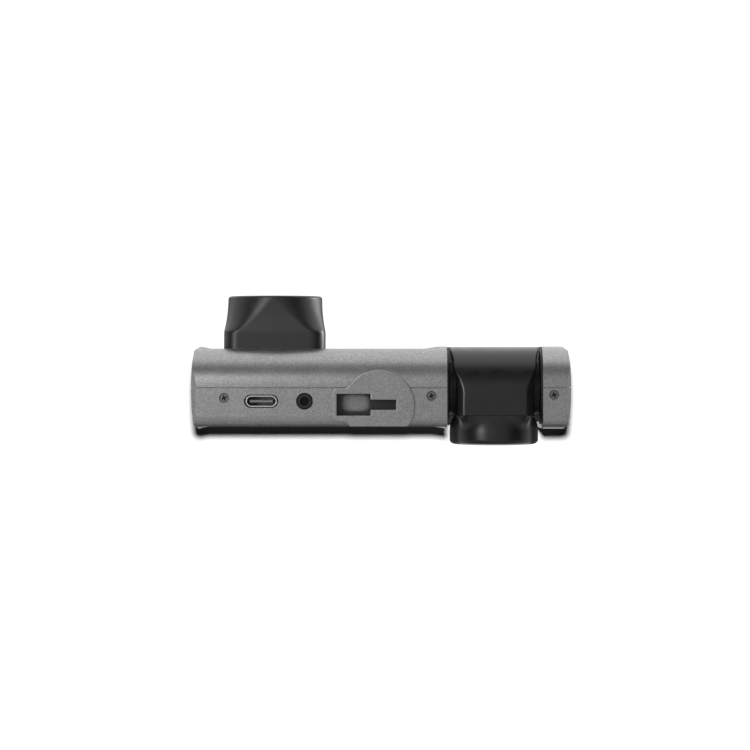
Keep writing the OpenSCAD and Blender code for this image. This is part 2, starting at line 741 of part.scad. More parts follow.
module cabin_housing() color(black_plastic) translate([bay_x, 0, tilt_z]) difference() {
    barrel_form();
    block(-9.4, 9.4, cap_y - 1, 2, -10.3, 10.3);
    rod_x(-9.4, 9.4, 0, 0, 9);
    for (s = [-1, 1]) rod_x(s > 0 ? neck_w : -20, s > 0 ? 20 : -neck_w, 0, 0, collar_r + 0.05);
    rod_x(-20, 20, 0, 0, ribbon_bore_r);
}

// Cap that flares from the bevelled neck to the round face, with a soft rim
module cabin_lens_cap() color(black_plastic) translate([bay_x, 0, tilt_z]) difference() {
    union() {
        hull() {
            slab_y(cap_y - 0.02, cap_y) neck_outline();
            rod_y(0, 0, flare_y - 0.3, flare_y, face_r - 0.05, $fn = 96);
        }
        rotate([90, 0, 0]) rotate_extrude() polygon(concat(
            [[0, -flare_y], [face_r, -flare_y], [face_r, -rim_y]],
            [for (i = [1 : 6]) let (a = i * 15) [face_r - 1.9 + 1.9 * cos(a), -rim_y + 1.3 * sin(a)]],
            [[0, -rim_y + 1.3]]));
    }
    rod_y(0, 0, rim_y + 0.5, cap_y + 1, 10.6);
    rod_y(0, 0, -face_y - 1, rim_y - 0.7, 10.4);
    rod_y(0, 0, -face_y, cap_y, 5.3);
    for (a = [45 : 90 : 315]) rod_y(7.8 * cos(a), 7.8 * sin(a), -face_y, cap_y, 1.7);
}

// Dark window ring in front of the infrared lights
module cabin_window() color(gloss_black) translate([bay_x, 0, tilt_z]) rotate([90, 0, 0])
    rotate_extrude() polygon([[5.4, -rim_y + 0.75], [10.35, -rim_y + 0.75], [10.35, -rim_y + 1.35],
        [9.9, -rim_y + 1.45], [5.4, face_y]]);

module cabin_lens_ring() color(black_plastic) translate([bay_x, 0, tilt_z])
    ring_y(0, 0, -face_y, rim_y + 1.5, 5.25, 4.6);

module cabin_cover_glass() color(dark_glass, 0.4) translate([bay_x, 0, tilt_z])
    rod_y(0, 0, -face_y + 0.2, -face_y + 0.9, 4.55);

module cabin_lens_barrel() color(black_plastic) translate([bay_x, 0, tilt_z]) difference() {
    union() {
        rod_y(0, 0, -10, -5.6, 3.95);
        rod_y(0, 0, -15.3, -10 + eps, 4.5);
    }
    rod_y(0, 0, -14, -5, 2.6);
    rod_y(0, 0, -16, -13.5, 3.6);
}

module cabin_front_element() color(dark_glass, 0.6) translate([bay_x, 0, tilt_z]) intersection() {
    rod_y(0, 0, -15.6, -13.55, 3.55);
    translate([0, -9.5, 0]) sphere(r = 5.95);
}

module cabin_lens_holder() color(black_plastic) translate([bay_x, 0, tilt_z]) difference() {
    block(-5, 5, -9.2, -4.6, -5, 5);
    rod_y(0, 0, -10, -5.5, 4);
    block(-4, 4, -5.5, -4, -4, 4);
}

module cabin_board() color(board_green) translate([bay_x, 0, tilt_z]) difference() {
    block(-8, 8, -4.6, -3.6, -9.6, 9.6);
    for (s = [-1, 1]) rod_y(0, s * 8.1, -6, -2, 0.75);
}

module cabin_sensor() color(gloss_black) translate([bay_x, 0, tilt_z]) block(-3, 3, -5.4, -4.6, -3, 3);

module led_board() color(board_green) translate([bay_x, 0, tilt_z])
    ring_y(0, 0, -13.7, -12.9, 10.2, 5.4);

module infrared_leds() color([0.3, 0.25, 0.3]) translate([bay_x, 0, tilt_z])
    for (a = [45 : 90 : 315]) rod_y(7.8 * cos(a), 7.8 * sin(a), -15.6, -13.7, 1.5);

// Screws that hold the sensor board to the lens holder's ears
module cabin_screws() color(steel) translate([bay_x, 0, tilt_z]) for (s = [-1, 1]) {
    rod_y(0, s * 8.1, -3.6, -2.9, 1.3);
    rod_y(0, s * 8.1, -5.6, -3.6 + eps, 0.7);
}

// ---------- nodes ----------

front_shell();
rear_shell();
mount_shoe();
lens_housing();
lens_bezel();
lens_cover_glass();
lens_barrel();
lens_front_element();
lens_holder();
infrared_filter();
image_sensor();
main_board();
processor();
heat_sink();
memory_chip();
radio_shield();
usb_shell();
usb_tongue();
av_jack();
card_socket();
battery();
speaker();
microphone();
rating_plate();
display_window();
display_panel();
display_bracket();
key_board();
key_switches();
status_led();
status_light();
case_screws();
board_screws();
inner_hub();
outer_hub();
body_ribbon();
power_button();
menu_button();
record_button();
mode_button();
lock_button();
cabin_housing();
cabin_lens_cap();
cabin_window();
cabin_lens_ring();
cabin_cover_glass();
cabin_lens_barrel();
cabin_front_element();
cabin_lens_holder();
cabin_board();
cabin_sensor();
led_board();
infrared_leds();
cabin_screws();
inner_axle();
outer_axle();
axle_clips();
friction_washers();
cabin_ribbon();
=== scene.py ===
"""Looks of a two-lens dash camera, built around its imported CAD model.

The file is laid out as an add-on and run as a script. Each operator dresses or builds one group of pieces.
Lengths in the code are metres; MM turns millimetres into metres.
"""
import math

import bmesh
import bpy
import numpy as np
from bpy.props import FloatProperty, FloatVectorProperty, PointerProperty
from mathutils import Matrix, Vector


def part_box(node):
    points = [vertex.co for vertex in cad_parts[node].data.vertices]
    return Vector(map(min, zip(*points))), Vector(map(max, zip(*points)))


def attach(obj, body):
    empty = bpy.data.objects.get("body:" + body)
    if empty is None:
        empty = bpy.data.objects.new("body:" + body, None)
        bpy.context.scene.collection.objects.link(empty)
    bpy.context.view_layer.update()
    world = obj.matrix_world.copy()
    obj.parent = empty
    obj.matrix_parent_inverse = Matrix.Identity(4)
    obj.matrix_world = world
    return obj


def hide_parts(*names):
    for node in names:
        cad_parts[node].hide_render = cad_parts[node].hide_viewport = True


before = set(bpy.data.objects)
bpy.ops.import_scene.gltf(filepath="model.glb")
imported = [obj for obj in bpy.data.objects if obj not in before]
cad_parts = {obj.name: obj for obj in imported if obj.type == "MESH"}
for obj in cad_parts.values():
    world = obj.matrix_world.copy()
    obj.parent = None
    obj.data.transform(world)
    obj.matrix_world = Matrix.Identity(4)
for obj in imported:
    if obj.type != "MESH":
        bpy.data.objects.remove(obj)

bl_info = {
    "name": "Two-lens dash camera",
    "version": (1, 0, 0),
    "blender": (4, 5, 0),
    "location": "View3D > Sidebar > Dash camera",
    "description": "Builds the shells, lenses, keys and finishes of a two-lens dash camera",
    "category": "Object",
}

MM = 0.001
# Brightness of the room all round, and of the parts of it that glow.
GLOW_ALL, GLOW_OVERHEAD, GLOW_CABIN = 0.12, 0.5, 0.4
GLOW_FRONT, GLOW_BEHIND, GLOW_RIGHT, GLOW_LEFT = 1.4, 0.9, 0.6, 0.6
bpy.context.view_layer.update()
BODY = "body"
CABIN = "cabin_camera"
KEYS = ("power", "menu", "record", "mode", "lock")
# Edges that turn by more than this stay sharp.
SHARP = math.radians(32)
DEEP_BLACK, GLOSS_BLACK, STEEL = (0.004, 0.004, 0.0042), (0.006, 0.006, 0.007), (0.6, 0.6, 0.61)


# ---------------------------------------------------------------- settings


def length(name, words, default):
    """A length setting in metres, shown in the scene's unit."""
    return FloatProperty(name=name, description=words, default=default, min=0, precision=5, unit="LENGTH")


def colour(name, words, default):
    """A colour setting with red, green and blue in linear light."""
    return FloatVectorProperty(name=name, description=words, default=default, size=3, min=0, max=1,
                               subtype="COLOR")


class DashcamShellSettings(bpy.types.PropertyGroup):
    """Sizes and colours of the painted shells."""
    edge: length("Shell edge", "Rounding along the edges of the two shells", 0.16 * MM)
    pad_edge: length("Pad edge", "Rounding along the edge of the mounting pad", 0.5 * MM)
    paint: colour("Paint", "Colour of the metallic grey paint", (0.30, 0.30, 0.302))
    flake: length("Flake size", "Size of the grain in the paint", 0.28 * MM)


class DashcamPlasticSettings(bpy.types.PropertyGroup):
    """Sizes and colours of the black mouldings and small parts."""
    small_edge: length("Small edge", "Rounding along the edges of the small parts", 0.06 * MM)
    black: colour("Black plastic", "Colour of the matt black mouldings", (0.013, 0.013, 0.0135))
    grain: length("Plastic grain", "Size of the fine spark texture on the mouldings", 0.12 * MM)


class DashcamLensSettings(bpy.types.PropertyGroup):
    """Sizes of the road lens housing and the glass."""
    foot_corner: length("Foot corner", "Corner radius of the square foot of the lens housing", 3.9 * MM)
    mouth: length("Mouth radius", "Radius of the round mouth of the lens housing", 13.6 * MM)
    foot_depth: length("Foot depth", "Straight length of the foot in front of the body", 5.1 * MM)
    rim: length("Rim rounding", "Rounding of the round mouth's outer edge", 0.8 * MM)
    lip: length("Mouth lip", "Width of the flat lip around the mouth", 0.5 * MM)
    coating: colour("Coating", "Colour that the lens coating reflects", (0.10, 0.05, 0.22))


class DashcamCabinSettings(bpy.types.PropertyGroup):
    """Sizes of the tilting cabin camera."""
    flat: length("Flat half width", "Half width of the flat top of the neck", 8.85 * MM)
    neck: length("Neck half width", "Half width of the neck at its sides", 11.05 * MM)
    bevel: length("Bevel height", "Height of the bevel beside the flat top", 1.3 * MM)
    soft: length("Edge softness", "Rounding where the bevel meets the flats", 0.5 * MM)
    rim: length("Rim rounding", "Radius of the rounding around the camera's face", 1.9 * MM)


class DashcamKeySettings(bpy.types.PropertyGroup):
    """Sizes of the five keys."""
    crown: length("Key crown", "How much higher the middle of a key is than its edge", 0.16 * MM)
    mark: length("Mark height", "How far the raised mark stands out of a key", 0.08 * MM)


class DashcamStageSettings(bpy.types.PropertyGroup):
    """The floor, the camera and the light."""
    floor_size: length("Floor size", "Width of the pale floor", 6.0)
    camera_height: length("Camera height", "Distance of the camera above the mounting side", 1.0)
    field: length("Field width", "Width that the camera sees at the mounting side", 212.63 * MM)
    overhead: FloatProperty(name="Overhead light", description="Strength of the soft light above",
                            default=6.6, min=0)
    strip: FloatProperty(name="Side strip", description="Strength of the strip light beside the road lens",
                         default=9.0, min=0)
    floor_light: FloatProperty(name="Floor light", description="Strength of the light on the floor",
                               default=17.8, min=0)


def settings(group):
    """The scene's settings of one group."""
    return getattr(bpy.context.scene, "dashcam_" + group)


# ---------------------------------------------------------------- surfaces


def grid_faces(rows, cols, ring_rows=False, ring_cols=True):
    """Corner numbers of the quads of a grid of points; a ring joins the last row or column to the first."""
    r = np.arange(rows if ring_rows else rows - 1)[:, None]
    c = np.arange(cols if ring_cols else cols - 1)[None, :]
    up, right = (r + 1) % rows, (c + 1) % cols
    return np.stack([r * cols + c, r * cols + right, up * cols + right, up * cols + c], -1).reshape(-1, 4)


def grid_skin(points, ring_rows=False, ring_cols=True):
    """A skin over a grid of points: (corners, faces)."""
    rows, cols = points.shape[:2]
    return points.reshape(-1, 3), grid_faces(rows, cols, ring_rows, ring_cols)


def joined(skins):
    """Several skins as one list of corners and one of faces."""
    starts = np.cumsum([0] + [len(c) for c, _ in skins[:-1]])
    return np.concatenate([c for c, _ in skins]), np.concatenate([f + s for (_, f), s in zip(skins, starts)])


def shown(name, data):
    """A new object in the scene that shows a mesh, a camera or a lamp."""
    obj = bpy.data.objects.new(name, data)
    bpy.context.scene.collection.objects.link(obj)
    return obj


def piece(name, skin, material, body, nodes=()):
    """A smooth piece from a skin: seams closed, normals outward, riding on a body in place of CAD nodes."""
    corners, faces = skin
    mesh = bpy.data.meshes.new(name)
    mesh.from_pydata(np.asarray(corners, float).tolist(), [], faces.tolist())
    obj = shown(name, mesh)
    work = bmesh.new()
    work.from_mesh(mesh)
    bmesh.ops.remove_doubles(work, verts=work.verts, dist=0.002 * MM)
    bmesh.ops.dissolve_degenerate(work, edges=work.edges, dist=0.001 * MM)
    bmesh.ops.recalc_face_normals(work, faces=work.faces)
    work.to_mesh(mesh)
    work.free()
    mesh.shade_smooth()
    mesh.set_sharp_from_angle(angle=SHARP)
    mesh.materials.append(material)
    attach(obj, body)
    if nodes:
        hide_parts(*nodes)
    return obj


def cad_normals(corners, faces):
    """Corner normals as a modeller shows them: flats stay flat, and curved strips blend into each other.

    Coplanar triangles are gathered into facets. At a corner, the normal of a facet is the sum of the normals
    of the facets there that lean less than the sharp angle from it, each times its area to the power 1.5.
    """
    a, b, c = (corners[faces[:, i]] for i in range(3))
    cross = np.cross(b - a, c - a)
    area = np.linalg.norm(cross, axis=1)
    normal = cross / np.maximum(area, 1e-16)[:, None]
    offset = np.sum(normal * a, 1) / (0.004 * MM)
    key = np.round(np.concatenate([normal * 400, offset[:, None]], 1)).astype(int)
    _, facet = np.unique(key, axis=0, return_inverse=True)
    facet = facet.ravel()
    count = facet.max() + 1
    facet_area = np.bincount(facet, area, count)
    facet_normal = np.stack([np.bincount(facet, cross[:, i], count) for i in range(3)], 1)
    facet_normal /= np.maximum(np.linalg.norm(facet_normal, axis=1), 1e-16)[:, None]
    weight = facet_normal * (facet_area ** 1.5)[:, None]

    pair, where = np.unique(faces.ravel().astype(np.int64) * count + np.repeat(facet, 3), return_inverse=True)
    vertex, own = pair // count, pair % count
    total = weight[own].copy()
    for step in range(1, int(np.bincount(vertex).max())):
        near = np.nonzero(vertex[step:] == vertex[:-step])[0]
        alike = np.sum(facet_normal[own[near]] * facet_normal[own[near + step]], 1) > math.cos(SHARP)
        first, second = near[alike], near[alike] + step
        np.add.at(total, first, weight[own[second]])
        np.add.at(total, second, weight[own[first]])
    total /= np.maximum(np.linalg.norm(total, axis=1), 1e-30)[:, None]
    return total[where.ravel()]


def cad_copy(node, material, body):
    """A copy of a CAD node with its loose triangles joined and smooth normals, shown in its place."""
    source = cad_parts[node].data
    corners = np.empty(len(source.vertices) * 3)
    source.vertices.foreach_get("co", corners)
    faces = np.array([list(face.vertices) for face in source.polygons])
    grid = np.round(corners.reshape(-1, 3) / (0.001 * MM)).astype(int)
    _, first, merged = np.unique(grid, axis=0, return_index=True, return_inverse=True)
    corners, faces = corners.reshape(-1, 3)[first], merged.ravel()[faces]
    whole = (faces[:, 0] != faces[:, 1]) & (faces[:, 1] != faces[:, 2]) & (faces[:, 2] != faces[:, 0])
    faces = faces[whole]
    mesh = bpy.data.meshes.new(node + "_skin")
    mesh.from_pydata(corners.tolist(), [], faces.tolist())
    mesh.shade_smooth()
    mesh.normals_split_custom_set(cad_normals(corners, faces).tolist())
    mesh.materials.append(material)
    obj = shown(node + "_skin", mesh)
    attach(obj, body)
    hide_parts(node)
    return obj


def dress(material, *nodes):
    """Gives CAD nodes a finish in place of their plain one."""
    for node in nodes:
        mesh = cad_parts[node].data
        mesh.materials.clear()
        mesh.materials.append(material)


def smooth_step(t):
    """0 below 0, 1 above 1, and three t squared minus two t cubed between."""
    t = np.clip(t, 0, 1)
    return t * t * (3 - 2 * t)


def round_square(angle, half, corner):
    """Distance from the middle of a square with round corners to its edge, in the direction of angle.

    On a flat side it is half / max(|cos|, |sin|). Past the end of the flat it is the far crossing of the ray
    with the corner's circle, whose middle lies half - corner out along both sides.
    """
    c, s = np.abs(np.cos(angle)), np.abs(np.sin(angle))
    k = half - corner
    flat = half / np.maximum(c, s)
    along = k * (c + s)
    arc = along + np.sqrt(np.maximum(along ** 2 - 2 * k ** 2 + corner ** 2, 0))
    return np.where(flat * np.minimum(c, s) <= k, flat, arc)


def stadium(angle, half, radius):
    """Distance from the middle of a long hole with round ends to its edge, in the direction of angle.

    On the straight sides it is radius / |sin|, and past them it is the crossing with the end's circle, whose
    middle lies half - radius out.
    """
    c, s = np.abs(np.cos(angle)), np.maximum(np.abs(np.sin(angle)), 1e-9)
    k = half - radius
    side = radius / s
    arc = k * c + np.sqrt(np.maximum(radius ** 2 - (k * s) ** 2, 0))
    return np.where(side * c <= k, side, arc)


def around_y(radius, y, x, z, angle):
    """Points at a radius and a distance y on a ring about an axis along Y through (x, z)."""
    radius, y = np.broadcast_arrays(radius, y)
    return np.stack([x + radius * np.cos(angle), y + 0 * angle, z + radius * np.sin(angle)], -1)


def full_turn(count):
    """Angles all the way round, as one row."""
    return np.linspace(0, 2 * math.pi, count, endpoint=False)[None, :]


def rings(profile, x, z, angle):
    """A ring about an axis along Y through (x, z) for each (radius, y) point of a profile."""
    profile = np.asarray(profile, float)
    return around_y(profile[:, :1], profile[:, 1:], x, z, angle)


def turned(profile, x, z, count):
    """A closed profile of (radius, y) points turned about an axis along Y through (x, z)."""
    return grid_skin(rings(profile, x, z, full_turn(count)), ring_rows=True)


def box_of(node):
    """A CAD node's box with its middle in X and Z and half its width: (low, high, x, z, half)."""
    low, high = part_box(node)
    return low, high, (low.x + high.x) / 2, (low.z + high.z) / 2, (high.x - low.x) / 2


def arc(middle, radius, start, end, count):
    """Points on an arc of a circle, in degrees, as an array of pairs."""
    a = np.radians(np.linspace(start, end, count))
    return np.stack([middle[0] + radius * np.cos(a), middle[1] + radius * np.sin(a)], -1)


# ---------------------------------------------------------------- materials


class Graph:
    """Adds nodes to a node tree and joins them."""

    def __init__(self, tree):
        self.tree = tree

    def add(self, kind, **inputs):
        """A node with some of its inputs set."""
        node = self.tree.nodes.new(kind)
        for key, value in inputs.items():
            node.inputs[key.replace("_", " ")].default_value = value
        return node

    def link(self, a, b):
        """Joins an output to an input."""
        self.tree.links.new(a, b)

    def feed(self, sockets, values):
        """Sets each socket to a number or colour, or joins it to an output."""
        for socket, value in zip(sockets, values):
            if isinstance(value, (int, float, tuple)):
                socket.default_value = value
            else:
                self.link(value, socket)

    def calculate(self, operation, a, b):
        """One sum, product, angle or comparison of two values or numbers."""
        node = self.add("ShaderNodeMath")
        node.operation = operation
        self.feed(node.inputs, (a, b))
        return node.outputs[0]

    def far_from(self, value, middle):
        """How far a value is from a middle one, either way."""
        return self.calculate("ABSOLUTE", self.calculate("SUBTRACT", value, middle), 0)

    def remap(self, value, ends, low, high, smooth=False):
        """Turns a value between two ends into one from low to high, in a straight or a smooth step."""
        node = self.add("ShaderNodeMapRange", From_Min=ends[0], From_Max=ends[1], To_Min=low, To_Max=high)
        node.interpolation_type = "SMOOTHSTEP" if smooth else "LINEAR"
        self.link(value, node.inputs["Value"])
        return node.outputs["Result"]

    def step(self, value, start, end):
        """A smooth step of a value from 0 at start to 1 at end."""
        if start < end:
            return self.remap(value, (start, end), 0, 1, True)
        return self.remap(value, (end, start), 1, 0, True)

    def blend(self, share, a, b):
        """Mixes two colours: a where the share is 0 and b where it is 1."""
        node = self.add("ShaderNodeMix")
        node.data_type = "RGBA"
        self.feed((node.inputs["Factor"], node.inputs[6], node.inputs[7]), (share, a, b))
        return node.outputs[2]

    def split(self, vector):
        """The X, Y and Z of a vector."""
        node = self.add("ShaderNodeSeparateXYZ")
        self.link(vector, node.inputs["Vector"])
        return node.outputs


class Finish(Graph):
    """Builds one node material on a Principled shader."""

    def __init__(self, name, base, roughness, metallic=0.0, edge=0.0, **sockets):
        self.material = bpy.data.materials.new(name)
        self.material.use_nodes = True
        super().__init__(self.material.node_tree)
        self.shader = self.tree.nodes["Principled BSDF"]
        self.set("Base Color", (*base, 1))
        self.set("Roughness", roughness)
        self.set("Metallic", metallic)
        for key, value in sockets.items():
            self.set(key.replace("_", " "), value)
        self.coords = self.add("ShaderNodeTexCoord").outputs["Object"]
        self.base = base
        self.edge = None
        if edge:
            self.edge = self.rounded(edge)
            self.link(self.edge, self.shader.inputs["Normal"])

    def set(self, socket, value):
        """Sets a number or colour on the shader itself."""
        self.shader.inputs[socket].default_value = value

    def drive(self, socket, output):
        """Lets a pattern drive one of the shader's sockets."""
        self.link(output, self.shader.inputs[socket])

    def noise(self, size, detail=2.0, rough=0.5):
        """A noise pattern whose features are about size across."""
        node = self.add("ShaderNodeTexNoise", Scale=1 / size, Detail=detail, Roughness=rough)
        self.link(self.coords, node.inputs["Vector"])
        return node.outputs["Fac"]

    def spread(self, pattern, low, high):
        """Turns a noise, which is mostly from 0.3 to 0.7, into a value from low to high."""
        return self.remap(pattern, (0.3, 0.7), low, high)

    def tint(self, pattern, share):
        """Varies the base colour's brightness by a share of it, up and down, along a pattern."""
        low, high = [tuple(min(1, c * (1 + s * share)) for c in self.base) + (1,) for s in (-1, 1)]
        colour_out = self.blend(self.spread(pattern, 0, 1), low, high)
        self.drive("Base Color", colour_out)
        return colour_out

    def rough(self, pattern, low, high):
        """Varies the roughness along a pattern."""
        self.drive("Roughness", self.spread(pattern, low, high))

    def bump(self, pattern, depth, strength=0.6):
        """Raises the surface along a pattern by a depth."""
        node = self.add("ShaderNodeBump", Strength=strength, Distance=depth)
        self.link(pattern, node.inputs["Height"])
        if self.edge:
            self.link(self.edge, node.inputs["Normal"])
        self.drive("Normal", node.outputs["Normal"])

    def rounded(self, radius):
        """The surface's normal, rounded along sharp edges."""
        node = self.add("ShaderNodeBevel", Radius=radius)
        node.samples = 6
        return node.outputs["Normal"]

    def edges(self, radius):
        """1 along sharp edges and 0 away from them: how far the rounded normal leans from the true one."""
        turn = self.add("ShaderNodeVectorMath")
        turn.operation = "DOT_PRODUCT"
        self.link(self.rounded(radius), turn.inputs[0])
        self.link(self.add("ShaderNodeNewGeometry").outputs["True Normal"], turn.inputs[1])
        return self.step(turn.outputs["Value"], 0.99, 0.86)

    def cells(self, size):
        """Small cells about size across, each with its own value from 0 to 1."""
        node = self.add("ShaderNodeTexVoronoi", Scale=1 / size)
        self.link(self.coords, node.inputs["Vector"])
        part = self.add("ShaderNodeSeparateColor")
        self.link(node.outputs["Color"], part.inputs["Color"])
        return part.outputs[0]


def metallic_paint(name, base, flake, edge, with_painted_light=False):
    """Satin metallic paint over a moulding: cell-like flakes in a finer grain, with a faint relief.

    With painted light, the chamber under the slot is painted shade, near black and bare of metal, apart from
    a lit spot under the slot's wide end, and the edges get a painted highlight, paler than the paint.
    """
    f = Finish(name, base, 0.34, metallic=0.85, edge=edge, Coat_Weight=0.1, Coat_Roughness=0.35)
    flakes = f.calculate("ADD", f.calculate("MULTIPLY", f.cells(flake), 0.4),
                         f.calculate("MULTIPLY", f.noise(flake * 0.7, 2, 0.6), 0.6))
    colour_out = f.tint(flakes, 0.2)
    f.rough(f.noise(6 * MM, 2), 0.32, 0.37)
    f.bump(flakes, 0.006 * MM, 0.4)
    if with_painted_light:
        # painted shade in the slot's chamber: where the lit share falls, the colour turns near black and
        # loses its metal
        lit_share = chamber_lit_share(f)
        # painted highlight: along the pad's edges the colour is lifted to 1.7 times the paint
        rim = f.calculate("MULTIPLY", f.edges(edge), 0.7)
        colour_out = f.blend(rim, colour_out, tuple(min(1, c * 1.7) for c in base) + (1,))
        f.drive("Base Color", f.blend(lit_share, (0.012, 0.012, 0.012, 1), colour_out))
        f.drive("Metallic", f.calculate("MULTIPLY", lit_share, 0.85))
    return f.material


def chamber_lit_share(f):
    """How much is lit rather than painted shade: all outside the chamber, and in it a lit spot under the
    slot's wide end; the rest of the chamber is painted shade.

    The spot's edge is where (x / half length) to the power 4 plus (y / half width) to the power 4 passes 1,
    roughened by a noise.
    """
    lips_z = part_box("mount_shoe")[1].z - 1.4 * MM
    lit_spot_middle, lit_spot_half = (-7.3 * MM, -4.35 * MM), (4.4 * MM, 2.75 * MM)
    chamber_middle, chamber_half = (-4.1 * MM, -4.9 * MM), (8.8 * MM, 3.3 * MM)
    x, y, z = f.split(f.coords)
    far = []
    outside = f.calculate("GREATER_THAN", z, lips_z)
    for i, value in enumerate((x, y)):
        away = f.calculate("DIVIDE", f.calculate("SUBTRACT", value, lit_spot_middle[i]), lit_spot_half[i])
        far.append(f.calculate("POWER", f.calculate("ABSOLUTE", away, 0), 4))
        beyond = f.calculate("GREATER_THAN", f.far_from(value, chamber_middle[i]), chamber_half[i])
        outside = f.calculate("MAXIMUM", outside, beyond)
    roughened = f.calculate("ADD", f.calculate("ADD", *far),
                            f.calculate("MULTIPLY", f.noise(0.35 * MM, 3, 0.7), 0.9))
    return f.calculate("MAXIMUM", outside, f.remap(roughened, (0.45, 1.5), 0.85, 0.0, True))


def moulded_plastic(name, base, grain, roughness=0.42, edge=0.0):
    """Black moulding with a fine spark texture that spreads its shine."""
    f = Finish(name, base, roughness, edge=edge, Specular_IOR_Level=0.5)
    f.tint(f.noise(4 * MM, 2), 0.12)
    f.rough(f.noise(3 * MM, 3), roughness - 0.04, roughness + 0.05)
    f.bump(f.noise(grain, 2, 0.6), 0.004 * MM, 0.25)
    return f.material


def cap_plastic(name, base, grain):
    """Black moulding that is satin across its middle and dull on both flanks."""
    f = Finish(name, base, 0.28)
    middle = box_of("cabin_lens_cap")[2]
    flank = f.step(f.far_from(f.split(f.coords)["X"], middle), 9.4 * MM, 11.2 * MM)
    satin = f.spread(f.noise(3 * MM, 3), 0.24, 0.33)
    f.drive("Roughness", f.calculate("ADD", satin, f.calculate("MULTIPLY", flank, 0.6)))
    f.tint(f.noise(4 * MM, 2), 0.12)
    f.bump(f.noise(grain, 2, 0.6), 0.004 * MM, 0.25)
    return f.material


def metal_with_painted_shade(name, base, roughness, node, depth, rim):
    """Metal with painted shade: it turns near black between two depths under its ends, and along its edges if
    it has a rim.
    """
    f = Finish(name, base, roughness, metallic=1.0, edge=0.06 * MM)
    f.rough(f.noise(0.3 * MM, 2), roughness * 0.85, roughness * 1.25)
    low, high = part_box(node)
    half = (high.z - low.z) / 2
    far = f.far_from(f.split(f.coords)["Z"], low.z + half)
    # painted shade: near black deeper than the given depths inside the ends, as in a screw's cross or a
    # receptacle's mouth
    dark = f.step(far, half - depth[0], half - depth[1])
    if rim:
        # painted shade along the edges, as a dark ring round a screw head
        dark = f.calculate("MAXIMUM", dark, f.edges(rim))
    f.drive("Base Color", f.blend(dark, (*base, 1), (0.004, 0.004, 0.004, 1)))
    f.drive("Metallic", f.calculate("SUBTRACT", 1, f.calculate("MULTIPLY", dark, 0.9)))
    return f.material


def tongue_plastic_with_painted_shade(name, base):
    """Pale tongue with painted shade: it turns near black along its edges."""
    f = Finish(name, base, 0.4)
    shade = f.blend(f.noise(0.4 * MM, 2), (*(c * 0.9 for c in base), 1), (*base, 1))
    # painted shade along the tongue's edges
    f.drive("Base Color", f.blend(f.edges(0.3 * MM), shade, (0.006, 0.006, 0.006, 1)))
    f.rough(f.noise(0.5 * MM, 2), 0.35, 0.45)
    return f.material


def polished_plastic(name, base, edge=0.0):
    """Polished moulding with a faint ripple."""
    f = Finish(name, base, 0.08, edge=edge, Coat_Weight=0.3, Coat_Roughness=0.04)
    f.tint(f.noise(8 * MM, 1), 0.2)
    f.rough(f.noise(5 * MM, 2), 0.05, 0.12)
    f.bump(f.noise(9 * MM, 1), 0.003 * MM, 0.3)
    return f.material


def plated_metal(name, base, roughness, edge=0.0):
    """Plated metal with fine drawn lines along X."""
    f = Finish(name, base, roughness, metallic=1.0, edge=edge)
    stretch = f.add("ShaderNodeMapping", Scale=(0.08, 1, 1))
    f.link(f.coords, stretch.inputs["Vector"])
    f.coords = stretch.outputs["Vector"]
    lines = f.noise(0.06 * MM, 2)
    f.tint(lines, 0.12)
    f.rough(lines, roughness * 0.8, roughness * 1.25)
    f.bump(lines, 0.002 * MM, 0.3)
    return f.material


def clear_glass(name, base):
    """Flat clear glass, coated so that it reflects little, with the faintest unevenness."""
    f = Finish(name, base, 0.02, Transmission_Weight=1.0, IOR=1.2)
    f.bump(f.noise(12 * MM, 1), 0.002 * MM, 0.15)
    return f.material


def coated_glass(name, base, coating):
    """Deep dark lens glass whose coating turns to a second colour towards the rim of the dome."""
    f = Finish(name, base, 0.02, Coat_Weight=1.0, Coat_Roughness=0.01, IOR=1.7)
    rim = f.add("ShaderNodeLayerWeight", Blend=0.35).outputs["Facing"]
    f.drive("Base Color", f.blend(rim, (*base, 1), (*coating, 1)))
    f.bump(f.noise(10 * MM, 1), 0.001 * MM, 0.1)
    return f.material


def circuit_board(name, base):
    """Green solder mask with tracks as a blocky pattern under it."""
    f = Finish(name, base, 0.35, Coat_Weight=0.3)
    tracks = f.add("ShaderNodeTexVoronoi", Scale=1 / (1.5 * MM))
    tracks.distance = "MANHATTAN"
    f.link(f.coords, tracks.inputs["Vector"])
    f.tint(tracks.outputs["Distance"], 0.5)
    f.bump(tracks.outputs["Distance"], 0.02 * MM, 0.4)
    return f.material


def display_glass(name, base, low, high):
    """Dark gloss window: the cell behind it shows as a slightly lighter field between two corners."""
    f = Finish(name, base, 0.05, edge=0.12 * MM, Coat_Weight=0.5, Coat_Roughness=0.03)
    x, _, z = f.split(f.coords)
    inside = 1
    for value, start, end in ((x, low[0], high[0]), (z, low[2], high[2])):
        inside = f.calculate("MULTIPLY", inside, f.calculate("GREATER_THAN", value, start))
        inside = f.calculate("MULTIPLY", inside, f.calculate("LESS_THAN", value, end))
    f.drive("Base Color", f.blend(inside, (*base, 1), (base[0] * 2.2, base[1] * 2.4, base[2] * 2.8, 1)))
    f.rough(f.noise(20 * MM, 2), 0.04, 0.08)
    return f.material


FINISHES = {}


